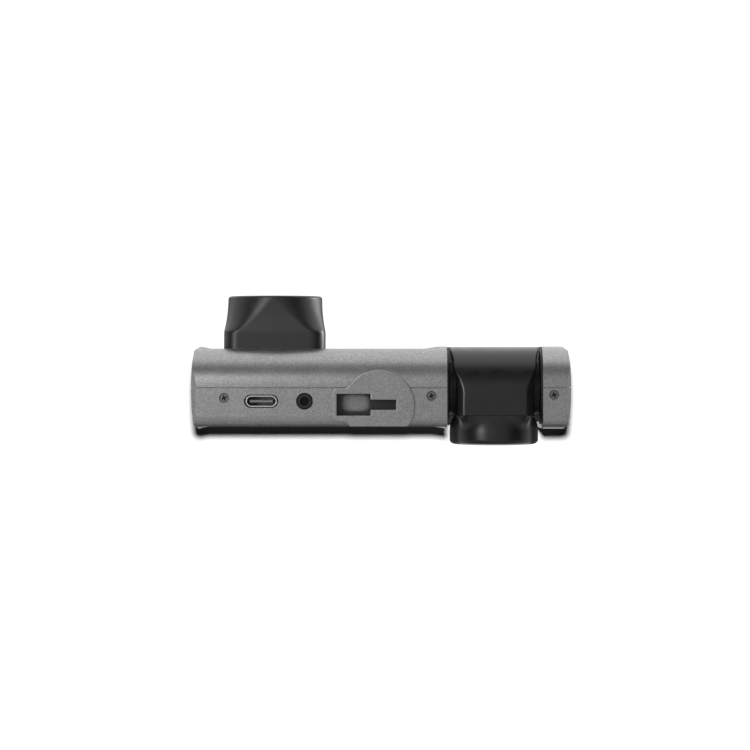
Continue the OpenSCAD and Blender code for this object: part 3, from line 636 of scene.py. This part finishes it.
def finish(name):
    """One of the object's finishes, made the first time that it is asked for."""
    if name in FINISHES:
        return FINISHES[name]
    shell, plastic, lens = settings("shell"), settings("plastic"), settings("lens")
    paint, black = tuple(shell.paint), tuple(plastic.black)
    low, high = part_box("display_window")
    inset = 2.6 * MM
    cell = [[c + inset for c in low], [c - inset for c in high]]
    grain, fine = plastic.grain, plastic.small_edge
    recipes = {
        "paint": (metallic_paint, paint, shell.flake, shell.edge),
        # pad paint with painted shade in the slot's chamber and a painted highlight along its edges
        "pad_paint": (metallic_paint, paint, shell.flake, shell.pad_edge, True),
        "black": (moulded_plastic, black, grain, 0.38),
        "deep_black": (moulded_plastic, DEEP_BLACK, grain, 0.28),
        "cap_black": (cap_plastic, DEEP_BLACK, grain),
        "black_inner": (moulded_plastic, (0.004, 0.004, 0.004), grain, 0.55, fine),
        "jack": (moulded_plastic, (0.006, 0.006, 0.006), grain, 0.3, 0.14 * MM),
        # pale tongue with painted shade along its edges
        "tongue": (tongue_plastic_with_painted_shade, (0.42, 0.42, 0.42)),
        "gloss": (polished_plastic, GLOSS_BLACK, fine),
        "dark_window": (polished_plastic, (0.010, 0.006, 0.007), fine),
        "steel": (plated_metal, STEEL, 0.25, fine),
        # screw steel with painted shade in the cross and round the rim
        "black_steel": (metal_with_painted_shade, (0.16, 0.16, 0.165), 0.35, "case_screws", (0.04 * MM, 0.3 * MM),
                        0.3 * MM),
        # receptacle metal with painted shade deep inside its mouth
        "receptacle": (metal_with_painted_shade, STEEL, 0.25, "usb_shell", (0.1 * MM, 0.5 * MM), 0),
        "gold": (plated_metal, (0.75, 0.55, 0.24), 0.25),
        "bronze": (plated_metal, (0.6, 0.42, 0.2), 0.3),
        "aluminium": (plated_metal, (0.6, 0.6, 0.62), 0.35),
        "clear": (clear_glass, (0.9, 0.95, 0.95)),
        "coated": (coated_glass, (0.004, 0.006, 0.01), tuple(lens.coating)),
        "board": (circuit_board, (0.02, 0.12, 0.06)),
        "display": (display_glass, GLOSS_BLACK, *cell),
        "label": (moulded_plastic, (0.30, 0.30, 0.305), grain, 0.45, fine),
        "film": (polished_plastic, (0.4, 0.2, 0.05)),
        "foil": (plated_metal, (0.45, 0.46, 0.5), 0.35),
        "led": (moulded_plastic, (0.35, 0.33, 0.28), grain, 0.3),
    }
    maker, *values = recipes[name]
    FINISHES[name] = maker(name, *values)
    return FINISHES[name]


# ---------------------------------------------------------------- operators


class DashcamOperator:
    """What every operator of this file shares: it runs a build step and reports that it is done."""
    bl_options = {"REGISTER", "UNDO"}

    def execute(self, context):
        self.build()
        return {"FINISHED"}


class DASHCAM_OT_shells(DashcamOperator, bpy.types.Operator):
    """Paints the front and rear shells and the mounting pad, and finishes the rating plate"""
    bl_idname = "dashcam.shells"
    bl_label = "Shells"

    def build(self):
        for node in ("front_shell", "rear_shell"):
            cad_copy(node, finish("paint"), BODY)
        # the pad's paint carries painted shade in the slot's chamber and a painted highlight along its edges
        cad_copy("mount_shoe", finish("pad_paint"), BODY)
        cad_copy("rating_plate", finish("label"), BODY)


class DASHCAM_OT_ports(DashcamOperator, bpy.types.Operator):
    """Finishes the USB-C receptacle with its contacts, the round socket and the card socket"""
    bl_idname = "dashcam.ports"
    bl_label = "Ports"

    def build(self):
        # the receptacle's metal carries painted shade deep inside its mouth
        cad_copy("usb_shell", finish("receptacle"), BODY)
        # the tongue carries painted shade along its edges
        cad_copy("usb_tongue", finish("tongue"), BODY)
        cad_copy("av_jack", finish("jack"), BODY)
        dress(finish("steel"), "card_socket")
        self.contacts()

    def contacts(self):
        """Twelve gold strips on each side of the tongue: flat pillows along Z, spaced evenly in X."""
        low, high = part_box("usb_tongue")
        middle = (low + high) / 2
        pitch, width, thick = 0.5 * MM, 0.14 * MM, 0.03 * MM
        tongue_half, taper = 0.35 * MM, 0.1 * MM
        top = high.z - 0.5 * MM
        foot = top - 3.2 * MM
        outline = np.array([[-1, -1], [1, -1], [1, 1], [-1, 1]]) * (width, thick)
        ring = outline[None] * np.array([0.6, 1, 1, 0.6])[:, None, None]
        z = np.array([foot, foot + taper, top - taper, top])[:, None]
        ends = np.array([[3, 2, 1, 0], [12, 13, 14, 15]])
        skins = []
        for side in (-1, 1):
            for i in range(12):
                x = middle.x + (i - 5.5) * pitch
                y = middle.y + side * (tongue_half + thick / 2)
                strip = np.stack([x + ring[..., 0], y + ring[..., 1], np.broadcast_to(z, (4, 4))], -1)
                corners, faces = grid_skin(strip)
                skins.append((corners, np.concatenate([faces, ends])))
        piece("usb_contacts", joined(skins), finish("gold"), BODY)


class DASHCAM_OT_fasteners(DashcamOperator, bpy.types.Operator):
    """Finishes the cross-head case screws, with painted shade in the cross and round the rim"""
    bl_idname = "dashcam.fasteners"
    bl_label = "Case screws"

    def build(self):
        cad_copy("case_screws", finish("black_steel"), BODY)


class DASHCAM_OT_road_lens_housing(DashcamOperator, bpy.types.Operator):
    """Builds the housing of the road lens, from a square foot to a round mouth with a stepped tunnel"""
    bl_idname = "dashcam.road_lens_housing"
    bl_label = "Road lens housing"

    def build(self):
        lens = settings("lens")
        low, high, x, z, half = box_of("lens_housing")
        glass_low, glass_high, _, _, glass_r = box_of("lens_cover_glass")
        mouth = lens.mouth
        body_front_y = 11 * MM
        foot_y = body_front_y + lens.foot_depth
        rim_y = high.y - lens.rim
        tunnel = glass_r + 0.02 * MM
        angle = full_turn(256)

        # Foot: straight. Loft: with s the share of the way to the mouth, eased in at the start, the half
        # width falls as (1 - s) to the power 2.4, and the corner radius grows as s to the power 0.85 until it
        # is the half width, which makes the outline a circle.
        t = np.linspace(-0.18, 1, 48)[:, None]
        y = foot_y + (rim_y - foot_y) * t
        y[0, 0] = low.y - 0.2 * MM
        soft = 0.05
        s = (np.sqrt(t ** 2 + soft ** 2) + t) / (math.sqrt(1 + soft ** 2) + 1)
        a = mouth + (half - mouth) * (1 - s) ** 2.4
        corner = lens.foot_corner + (a - lens.foot_corner) * s ** 0.85
        a[0], corner[0] = half, lens.foot_corner
        outside = around_y(round_square(angle, a, corner), y, x, z, angle)

        # Rim, lip, cone down to the glass, and the tunnel behind it, back to the foot's inner edge.
        rim = arc((mouth - lens.rim, rim_y), lens.rim, 0, 90, 8)[1:]
        inner = mouth - lens.rim - lens.lip
        cone = [(inner, high.y), (inner - 0.15 * MM, high.y - 0.12 * MM),
                (tunnel + 0.5 * MM, glass_high.y + 0.3 * MM), (tunnel, glass_high.y),
                (tunnel, glass_low.y - 0.1 * MM), (tunnel, low.y - 0.2 * MM)]
        inside = rings(np.concatenate([rim, cone]), x, z, angle)
        piece("road_lens_housing", grid_skin(np.concatenate([outside, inside]), ring_rows=True),
              finish("black"), BODY, ("lens_housing",))


class DASHCAM_OT_road_lens(DashcamOperator, bpy.types.Operator):
    """Builds the stepped baffle and the front element of the road lens, and finishes its cover glass"""
    bl_idname = "dashcam.road_lens"
    bl_label = "Road lens"

    def build(self):
        self.baffle()
        dome_piece("road_lens_element", "lens_front_element", BODY, 1)
        dress(finish("clear"), "lens_cover_glass")
        dress(finish("black_inner"), "lens_barrel")

    def baffle(self):
        """A cone of fine steps: the radius falls and the depth grows by turns, in equal steps."""
        low, high, x, z, outer = box_of("lens_bezel")
        steps, lip, wide, narrow = 7, 8.9 * MM, 8.8 * MM, 7.35 * MM
        r = np.repeat(np.linspace(wide, narrow, steps + 1), 2)[1:]
        y = np.repeat(np.linspace(high.y - 0.3 * MM, low.y, steps + 1), 2)[:-1]
        cone = np.stack([r, y], -1)
        profile = np.concatenate([[[outer, low.y], [outer, high.y], [lip, high.y]], cone])
        piece("road_lens_baffle", turned(profile, x, z, 128), finish("black_inner"), BODY, ("lens_bezel",))


def dome_piece(name, node, body, side):
    """A lens element in place of a CAD one: a spherical dome on a short cylinder, closed at both poles.

    The dome's radius of curvature comes from its half width r and rise h, as (r squared + h squared) / 2h.
    """
    low, high, x, z, r = box_of(node)
    front, back = (high.y, low.y) if side > 0 else (low.y, high.y)
    rise = abs(front - back) * 0.45
    big = (r * r + rise * rise) / (2 * rise)
    lean = np.linspace(0, math.asin(r / big), 24)
    dome = np.stack([big * np.sin(lean), front - side * (big - big * np.cos(lean))], -1)
    profile = np.concatenate([dome, [[r, back], [0, back]]])
    return piece(name, turned(profile, x, z, 96), finish("coated"), body, (node,))


class DASHCAM_OT_display(DashcamOperator, bpy.types.Operator):
    """Finishes the display window, the panel behind it and the light pipe"""
    bl_idname = "dashcam.display"
    bl_label = "Display"

    def build(self):
        cad_copy("display_window", finish("display"), BODY)
        dress(finish("clear"), "status_light")
        dress(finish("gloss"), "display_panel")


class DASHCAM_OT_keys(DashcamOperator, bpy.types.Operator):
    """Builds the five crowned keys with their raised marks"""
    bl_idname = "dashcam.keys"
    bl_label = "Keys"

    def build(self):
        for name in KEYS:
            self.key(name)

    def key(self, name):
        """A crowned cap on a post and a thinner stem, with a raised mark of rings, dots or bars."""
        keys = settings("key")
        low, high, x, _, flange_half = box_of(name + "_button")
        half, radius = flange_half - 0.4 * MM, 1.9 * MM
        z = low.z + 0.6 * MM + radius
        face = low.y + keys.crown + 0.05 * MM
        post_y, stem_y = high.y - 3.5 * MM, high.y - 1.4 * MM
        edge_round = 0.12 * MM
        # The face: y falls from the edge to the middle as the crown times (1 - q squared), q from 0 to 1.
        q = np.concatenate([np.linspace(0, 0.92, 10), [0.97, 1, 1]])[:, None]
        y = face - keys.crown * (1 - q ** 2)
        y[-2, 0] += edge_round
        y[-1, 0] = post_y
        angle = full_turn(96)
        top = around_y(q * stadium(angle, half, radius), y, x, z, angle)
        post_r, stem_r = radius * 0.63, radius * 0.42
        stem = rings([(post_r, post_y), (post_r, stem_y), (stem_r, stem_y), (stem_r, high.y), (0, high.y)],
                     x, z, angle)
        skins = [grid_skin(np.concatenate([top, stem]))]
        for row in self.marks(name):
            dx, dz, mark_half, mark_r, hole = (a * MM for a in row)
            skins.append(self.mark(x + dx, z + dz, mark_half, mark_r, hole, face - keys.crown, keys.mark))
        piece(name + "_keycap", joined(skins), finish("black"), name + "_key", (name + "_button",))

    def marks(self, name):
        """A key's mark as rows of (x, z, half length, half width, half width of its hole), in millimetres."""
        return {
            "power": [(0, 0, 0.75, 0.75, 0.5)],
            "menu": [(0, dz, 0.8, 0.13, 0) for dz in (-0.5, 0, 0.5)],
            "record": [(0, 0, 0.55, 0.55, 0)],
            "mode": [(dx, 0, 0.13, 0.13, 0) for dx in (-0.7, 0, 0.7)],
            "lock": [(0, 0, 0.8, 0.3, 0.12)],
        }[name]

    def mark(self, x, z, half, radius, hole, y, height):
        """A low pillow with an outline like a long hole; with a hole it is a ring of the same outline."""
        angle = full_turn(48)
        q = np.array([1, 1, 0.9, 0.5, 0.05, 0.0])[:, None]
        rise = np.array([-1, 0.4, 1, 1, 1, -1])[:, None] * height
        outer = stadium(angle, half, radius)
        inner = stadium(angle, half - radius + hole, hole) if hole else outer * 0.02
        reach = inner + (outer - inner) * q
        return grid_skin(around_y(reach, y - rise, x, z, angle), ring_rows=True)


class DASHCAM_OT_cabin_barrel(DashcamOperator, bpy.types.Operator):
    """Builds the barrel of the cabin camera: a bevelled neck that widens into a rounded drum"""
    bl_idname = "dashcam.cabin_barrel"
    bl_label = "Cabin camera barrel"

    def build(self):
        cabin = settings("cabin")
        low, high, x, z, _ = box_of("cabin_housing")
        h = (high.z - low.z) / 2
        nose, drum_y, drum_length = -3.3 * MM, -1.6 * MM, 6.8 * MM
        reach = high.y - nose

        # Side outline in Y and Z: flats above and below, and a half ellipse in front.
        flats = np.linspace(low.y, nose, 14)[:-1]
        lean = np.radians(np.linspace(90, -90, 73))
        y = np.concatenate([flats, nose + reach * np.cos(lean), flats[::-1]])[:, None]
        up = np.concatenate([h + 0 * flats, h * np.sin(lean), -h + 0 * flats])[:, None]

        # Across: from the flat's edge the bevel falls to the side, both edges rounded by a quadratic curve.
        open_up = smooth_step((y - drum_y) / drum_length)
        width = self.half_width(y)
        round_off, drum_soft = 0.45 * MM, 0.2 * MM
        flat = cabin.flat + (width - round_off - cabin.flat) * open_up
        drop = cabin.bevel + (round_off - cabin.bevel) * open_up
        soft = cabin.soft * (1 - open_up) + drum_soft * open_up
        across, down = self.shoulder(flat, width, drop, soft)
        spine_y = np.minimum(y, nose)
        size = np.sqrt((y - spine_y) ** 2 + up ** 2)
        share_in = down / size
        wall = np.linspace(0, 1, 9)[None, 1:]
        edge_in = share_in[:, -1:]
        share_in = np.concatenate([share_in, edge_in + (1 - edge_in) * wall], 1)
        py = y + (spine_y - y) * share_in
        pz = up * (1 - share_in)
        px = np.concatenate([across, self.half_width(py[:, across.shape[1]:])], 1)
        right = np.stack([x + px, py, z + pz], -1)
        left = np.stack([x - px, py, z + pz], -1)[:, ::-1]
        grid = np.concatenate([left, right], 1)
        piece("cabin_barrel", grid_skin(grid, ring_rows=True, ring_cols=False), finish("deep_black"), CABIN,
              ("cabin_housing",))

    def half_width(self, y):
        """Half width at y: the neck's, plus a smooth shoulder, plus a flare that grows as the square of y."""
        shoulder, shoulder_y, shoulder_length = 0.85 * MM, 2.2 * MM, 4.2 * MM
        flare, flare_y, flare_length = 0.8 * MM, 6.4 * MM, 5.1 * MM
        return (settings("cabin").neck + shoulder * smooth_step((y - shoulder_y) / shoulder_length)
                + flare * (np.maximum(0, y - flare_y) / flare_length) ** 2)

    def shoulder(self, flat, width, drop, soft):
        """Rows of (across, down) points: the flat, its rounded edge, the bevel and its rounded lower edge."""
        t = np.linspace(0, 1, 6)[None, :]
        slope = np.sqrt((width - flat) ** 2 + drop ** 2)
        ux, ud = (width - flat) / slope, drop / slope
        soft = np.minimum(soft, 0.4 * slope)
        upper = ((1 - t) ** 2 * (flat - soft) + 2 * t * (1 - t) * flat + t ** 2 * (flat + soft * ux),
                 t ** 2 * soft * ud)
        lower = ((1 - t) ** 2 * (width - soft * ux) + 2 * t * (1 - t) * width + t ** 2 * width,
                 (1 - t) ** 2 * (drop - soft * ud) + 2 * t * (1 - t) * drop + t ** 2 * (drop + soft))
        centre = (flat - soft) * np.linspace(0, 1, 6)[None, :-1]
        return (np.concatenate([centre, upper[0], lower[0]], 1),
                np.concatenate([0 * centre, upper[1], lower[1]], 1))


class DASHCAM_OT_cabin_cap(DashcamOperator, bpy.types.Operator):
    """Builds the cap of the cabin camera, which flares from the bevelled neck to a round rim"""
    bl_idname = "dashcam.cabin_cap"
    bl_label = "Cabin camera cap"

    def build(self):
        cabin = settings("cabin")
        low, high, x, z, r = box_of("cabin_lens_cap")
        neck_h, flare_length, lip = 12.5 * MM, 4.5 * MM, 0.12 * MM
        seam, rim_y = high.y, low.y + 1.3 * MM
        angle = full_turn(288)
        neck = self.bevelled_box(angle, cabin.neck, neck_h, cabin.flat, neck_h - cabin.bevel)

        # Flare: the outline goes from the neck's to the circle's as 1 - (1 - t) to the power 2.4.
        t = np.linspace(0, 1, 24)[:, None]
        y = np.concatenate([[[seam]], seam - lip - flare_length * t, [[rim_y]]])
        mix = np.concatenate([[[0]], 1 - (1 - t) ** 2.4, [[1]]])
        reach = neck + (r - neck) * mix
        reach[0] -= lip
        outside = around_y(reach, y, x, z, angle)
        rim = arc((r - cabin.rim, 0), cabin.rim, 0, 90, 12)[1:]
        rim[:, 1] = rim_y - rim[:, 1] / cabin.rim * (rim_y - low.y)
        seat_r, bore_r, wall_r = 10.4 * MM, 5.3 * MM, 9 * MM
        seat_y, back_y = rim_y - 0.7 * MM, rim_y + 0.5 * MM
        inner = [(10.45 * MM, low.y), (seat_r, low.y + 0.05 * MM), (seat_r, seat_y), (bore_r, seat_y),
                 (bore_r, back_y), (wall_r, back_y), (wall_r, seam)]
        inside = rings(np.concatenate([rim, inner]), x, z, angle)
        piece("cabin_cap", grid_skin(np.concatenate([outside, inside]), ring_rows=True), finish("cap_black"),
              CABIN, ("cabin_lens_cap",))

    def bevelled_box(self, angle, w, h, flat, side):
        """Distance to the edge of a box with cut corners: the nearest of its side, its top and its cut."""
        c, s = np.maximum(np.abs(np.cos(angle)), 1e-9), np.maximum(np.abs(np.sin(angle)), 1e-9)
        nx, nz = h - side, w - flat
        cut = (nx * flat + nz * h) / (nx * c + nz * s)
        return np.minimum(np.minimum(w / c, h / s), cut)


class DASHCAM_OT_cabin_face(DashcamOperator, bpy.types.Operator):
    """Finishes the window, the ring and the lens in the cabin camera's face"""
    bl_idname = "dashcam.cabin_face"
    bl_label = "Cabin camera face"

    def build(self):
        cad_copy("cabin_window", finish("dark_window"), CABIN)
        cad_copy("cabin_lens_ring", finish("gloss"), CABIN)
        dress(finish("clear"), "cabin_cover_glass")
        dress(finish("black_inner"), "cabin_lens_barrel")
        dome_piece("cabin_lens_element", "cabin_front_element", CABIN, -1)


class DASHCAM_OT_tilt_joint(DashcamOperator, bpy.types.Operator):
    """Finishes the hubs and hollow axles that carry the cabin camera"""
    bl_idname = "dashcam.tilt_joint"
    bl_label = "Tilt joint"

    def build(self):
        for side in ("inner", "outer"):
            cad_copy(side + "_hub", finish("black_inner"), BODY)
            cad_copy(side + "_axle", finish("black_inner"), CABIN)
        dress(finish("steel"), "axle_clips")
        dress(finish("bronze"), "friction_washers")
        dress(finish("film"), "body_ribbon", "cabin_ribbon")


class DASHCAM_OT_inner_parts(DashcamOperator, bpy.types.Operator):
    """Finishes the boards, chips and other parts that the shells enclose"""
    bl_idname = "dashcam.inner_parts"
    bl_label = "Inner parts"

    def build(self):
        dress(finish("board"), "main_board", "key_board", "cabin_board", "led_board")
        dress(finish("gloss"), "processor", "memory_chip", "image_sensor", "cabin_sensor")
        dress(finish("black"), "lens_holder", "cabin_lens_holder", "speaker")
        dress(finish("steel"), "radio_shield", "display_bracket", "key_switches", "board_screws",
              "cabin_screws", "microphone")
        dress(finish("aluminium"), "heat_sink")
        dress(finish("foil"), "battery")
        dress(finish("coated"), "infrared_filter")
        dress(finish("led"), "status_led", "infrared_leds")


class DASHCAM_OT_stage(DashcamOperator, bpy.types.Operator):
    """Sets out the pale floor, the soft lights and the camera"""
    bl_idname = "dashcam.stage"
    bl_label = "Stage"

    def build(self):
        stage = settings("stage")
        floor = self.floor(stage)
        self.camera(stage)
        self.world()
        self.lights(stage, floor)
        bpy.context.scene.view_settings.view_transform = "Standard"

    def floor(self, stage):
        """A flat floor with a rim that curves up: height grows as the cube of the distance past the flat."""
        half, count = stage.floor_size / 2, 96
        rim_height, flat_share, rim_share = 0.5, 0.6, 0.4
        r = np.concatenate([[0.001], np.linspace(0.2, half, 24)])[:, None]
        rise = rim_height * np.maximum(0, (r / half - flat_share) / rim_share) ** 3
        angle = full_turn(count)
        points = np.stack([r * np.cos(angle), r * np.sin(angle), rise + 0 * angle - 0.02 * MM], -1)
        corners, faces = grid_skin(points)
        mesh = bpy.data.meshes.new("floor")
        mesh.from_pydata(corners.tolist(), [], faces.tolist() + [list(range(count))])
        mesh.shade_smooth()
        floor = shown("floor", mesh)
        f = Finish("pale_floor", (0.2, 0.2, 0.2), 0.7, Specular_IOR_Level=0.0)
        f.tint(f.noise(0.4, 2), 0.01)
        mesh.materials.append(f.material)
        floor.visible_glossy = False
        floor.visible_diffuse = False
        floor.visible_shadow = False
        return floor

    def camera(self, stage):
        """Straight down on the mounting side, far enough away that parallel edges stay almost parallel."""
        data = bpy.data.cameras.new("camera")
        data.sensor_width = 36
        data.lens = data.sensor_width * stage.camera_height / stage.field
        data.clip_end = 20
        camera = shown("camera", data)
        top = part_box("rear_shell")[1].z
        camera.location = (-1.73 * MM, 3.54 * MM, top + stage.camera_height)
        bpy.context.scene.camera = camera

    def world(self):
        """A soft room whose brightness depends on the direction.

        With lean as the angle from straight up towards the lens side, in degrees, it glows overhead, on the
        cabin side from high up to the horizon, in front from the horizon to nearly straight down, behind
        only below the horizon, and low down at both ends.
        """
        world = bpy.data.worlds.new("room")
        bpy.context.scene.world = world
        world.use_nodes = True
        g = Graph(world.node_tree)
        x, y, z = g.split(g.add("ShaderNodeTexCoord").outputs["Generated"])
        lean = g.calculate("MULTIPLY", g.calculate("ARCTAN2", y, z), 180 / math.pi)
        between_ends = g.step(g.calculate("ABSOLUTE", x, 0), 0.9, 0.5)
        glows = (
            (GLOW_OVERHEAD, g.step(z, 0.6, 0.96), 1),
            (GLOW_FRONT, g.step(lean, 57, 82), g.calculate("MULTIPLY", g.step(lean, 176, 150), between_ends)),
            (GLOW_RIGHT, g.step(x, 0.5, 0.85), g.step(z, 0.2, 0.0)),
            (GLOW_LEFT, g.step(x, -0.5, -0.85), g.step(z, 0.25, 0.0)),
            (GLOW_BEHIND, g.step(lean, -112, -140), g.step(z, -0.1, -0.35)),
            (GLOW_CABIN, g.step(lean, -18, -38), g.step(lean, -95, -75)),
        )
        total = GLOW_ALL
        for strength, first, second in glows:
            glow = g.calculate("MULTIPLY", g.calculate("MULTIPLY", first, second), strength)
            total = g.calculate("ADD", glow, total)
        background = world.node_tree.nodes["Background"]
        background.inputs["Color"].default_value = (1, 1, 1, 1)
        g.link(total, background.inputs["Strength"])
        world.cycles_visibility.diffuse = False

    def lights(self, stage, floor):
        """A softbox high on the left, a strip beside the road lens, and a disk for the floor."""
        middle = (0, 0, 0)
        softbox_place = (-0.25, 0.125, 0.51)
        softbox = self.panel("softbox", (0.4, 0.14), stage.overhead)
        self.aimed(softbox, softbox_place, middle, [floor], "EXCLUDE")

        strip_place, strip_target = (0.045, 0.026, 0.004), (-0.0165, 0.019, 0.03)
        strip = self.panel("side_strip", (0.05, 0.03), stage.strip)
        housing = bpy.data.objects["road_lens_housing"]
        self.aimed(strip, strip_place, strip_target, [housing], "INCLUDE")

        above = bpy.data.objects["camera"].location
        beside_camera = Vector((0, 0.067, 0))
        disk = bpy.data.lights.new("floor_light", "AREA")
        disk.shape = "DISK"
        disk.size = 0.05
        disk.energy = stage.floor_light * math.pi * above.z ** 2
        lamp = self.aimed(disk, above + beside_camera, middle, [floor], "INCLUDE")
        blockers = bpy.data.collections.new("floor_shadow")
        for node in ("front_shell", "rear_shell", "mount_shoe"):
            blockers.objects.link(bpy.data.objects[node + "_skin"])
        lamp.light_linking.blocker_collection = blockers

    def panel(self, name, size, brightness):
        """A rectangular lamp whose power is its brightness times pi times its area."""
        data = bpy.data.lights.new(name, "AREA")
        data.shape = "RECTANGLE"
        data.size, data.size_y = size
        data.energy = brightness * math.pi * data.size * data.size_y
        return data

    def aimed(self, data, place, target, objects, rule):
        """A lamp at a place that shines at a target, on some objects only or on all but those."""
        lamp = shown(data.name, data)
        lamp.location = place
        lamp.rotation_mode = "QUATERNION"
        lamp.rotation_quaternion = (lamp.location - Vector(target)).to_track_quat("Z", "Y")
        lamp.visible_camera = False
        linked = bpy.data.collections.new(data.name + "_receivers")
        for i, obj in enumerate(objects):
            linked.objects.link(obj)
            linked.collection_objects[i].light_linking.link_state = rule
        lamp.light_linking.receiver_collection = linked
        return lamp


class DASHCAM_PT_panel(bpy.types.Panel):
    """Lists the build steps and their settings"""
    bl_idname = "DASHCAM_PT_panel"
    bl_label = "Dash camera"
    bl_space_type = "VIEW_3D"
    bl_region_type = "UI"
    bl_category = "Dash camera"

    def draw(self, context):
        layout = self.layout
        for name, group in SETTINGS.items():
            box = layout.box()
            box.label(text=name.capitalize())
            for key in group.__annotations__:
                box.prop(getattr(context.scene, "dashcam_" + name), key)
        for operator in OPERATORS:
            layout.operator(operator.bl_idname)


SETTINGS = {
    "shell": DashcamShellSettings,
    "plastic": DashcamPlasticSettings,
    "lens": DashcamLensSettings,
    "cabin": DashcamCabinSettings,
    "key": DashcamKeySettings,
    "stage": DashcamStageSettings,
}
OPERATORS = (
    DASHCAM_OT_shells,
    DASHCAM_OT_ports,
    DASHCAM_OT_fasteners,
    DASHCAM_OT_road_lens_housing,
    DASHCAM_OT_road_lens,
    DASHCAM_OT_display,
    DASHCAM_OT_keys,
    DASHCAM_OT_cabin_barrel,
    DASHCAM_OT_cabin_cap,
    DASHCAM_OT_cabin_face,
    DASHCAM_OT_tilt_joint,
    DASHCAM_OT_inner_parts,
    DASHCAM_OT_stage,
)
CLASSES = (*SETTINGS.values(), *OPERATORS, DASHCAM_PT_panel)


def register():
    """Registers every class and puts the settings on the scene."""
    for item in CLASSES:
        bpy.utils.register_class(item)
    for name, group in SETTINGS.items():
        setattr(bpy.types.Scene, "dashcam_" + name, PointerProperty(type=group))


def unregister():
    """Takes the settings and the classes away again."""
    for name in SETTINGS:
        delattr(bpy.types.Scene, "dashcam_" + name)
    for item in reversed(CLASSES):
        bpy.utils.unregister_class(item)


def main():
    register()
    for operator in OPERATORS:
        group, name = operator.bl_idname.split(".")
        getattr(getattr(bpy.ops, group), name)()


if __name__ == "__main__":
    main()
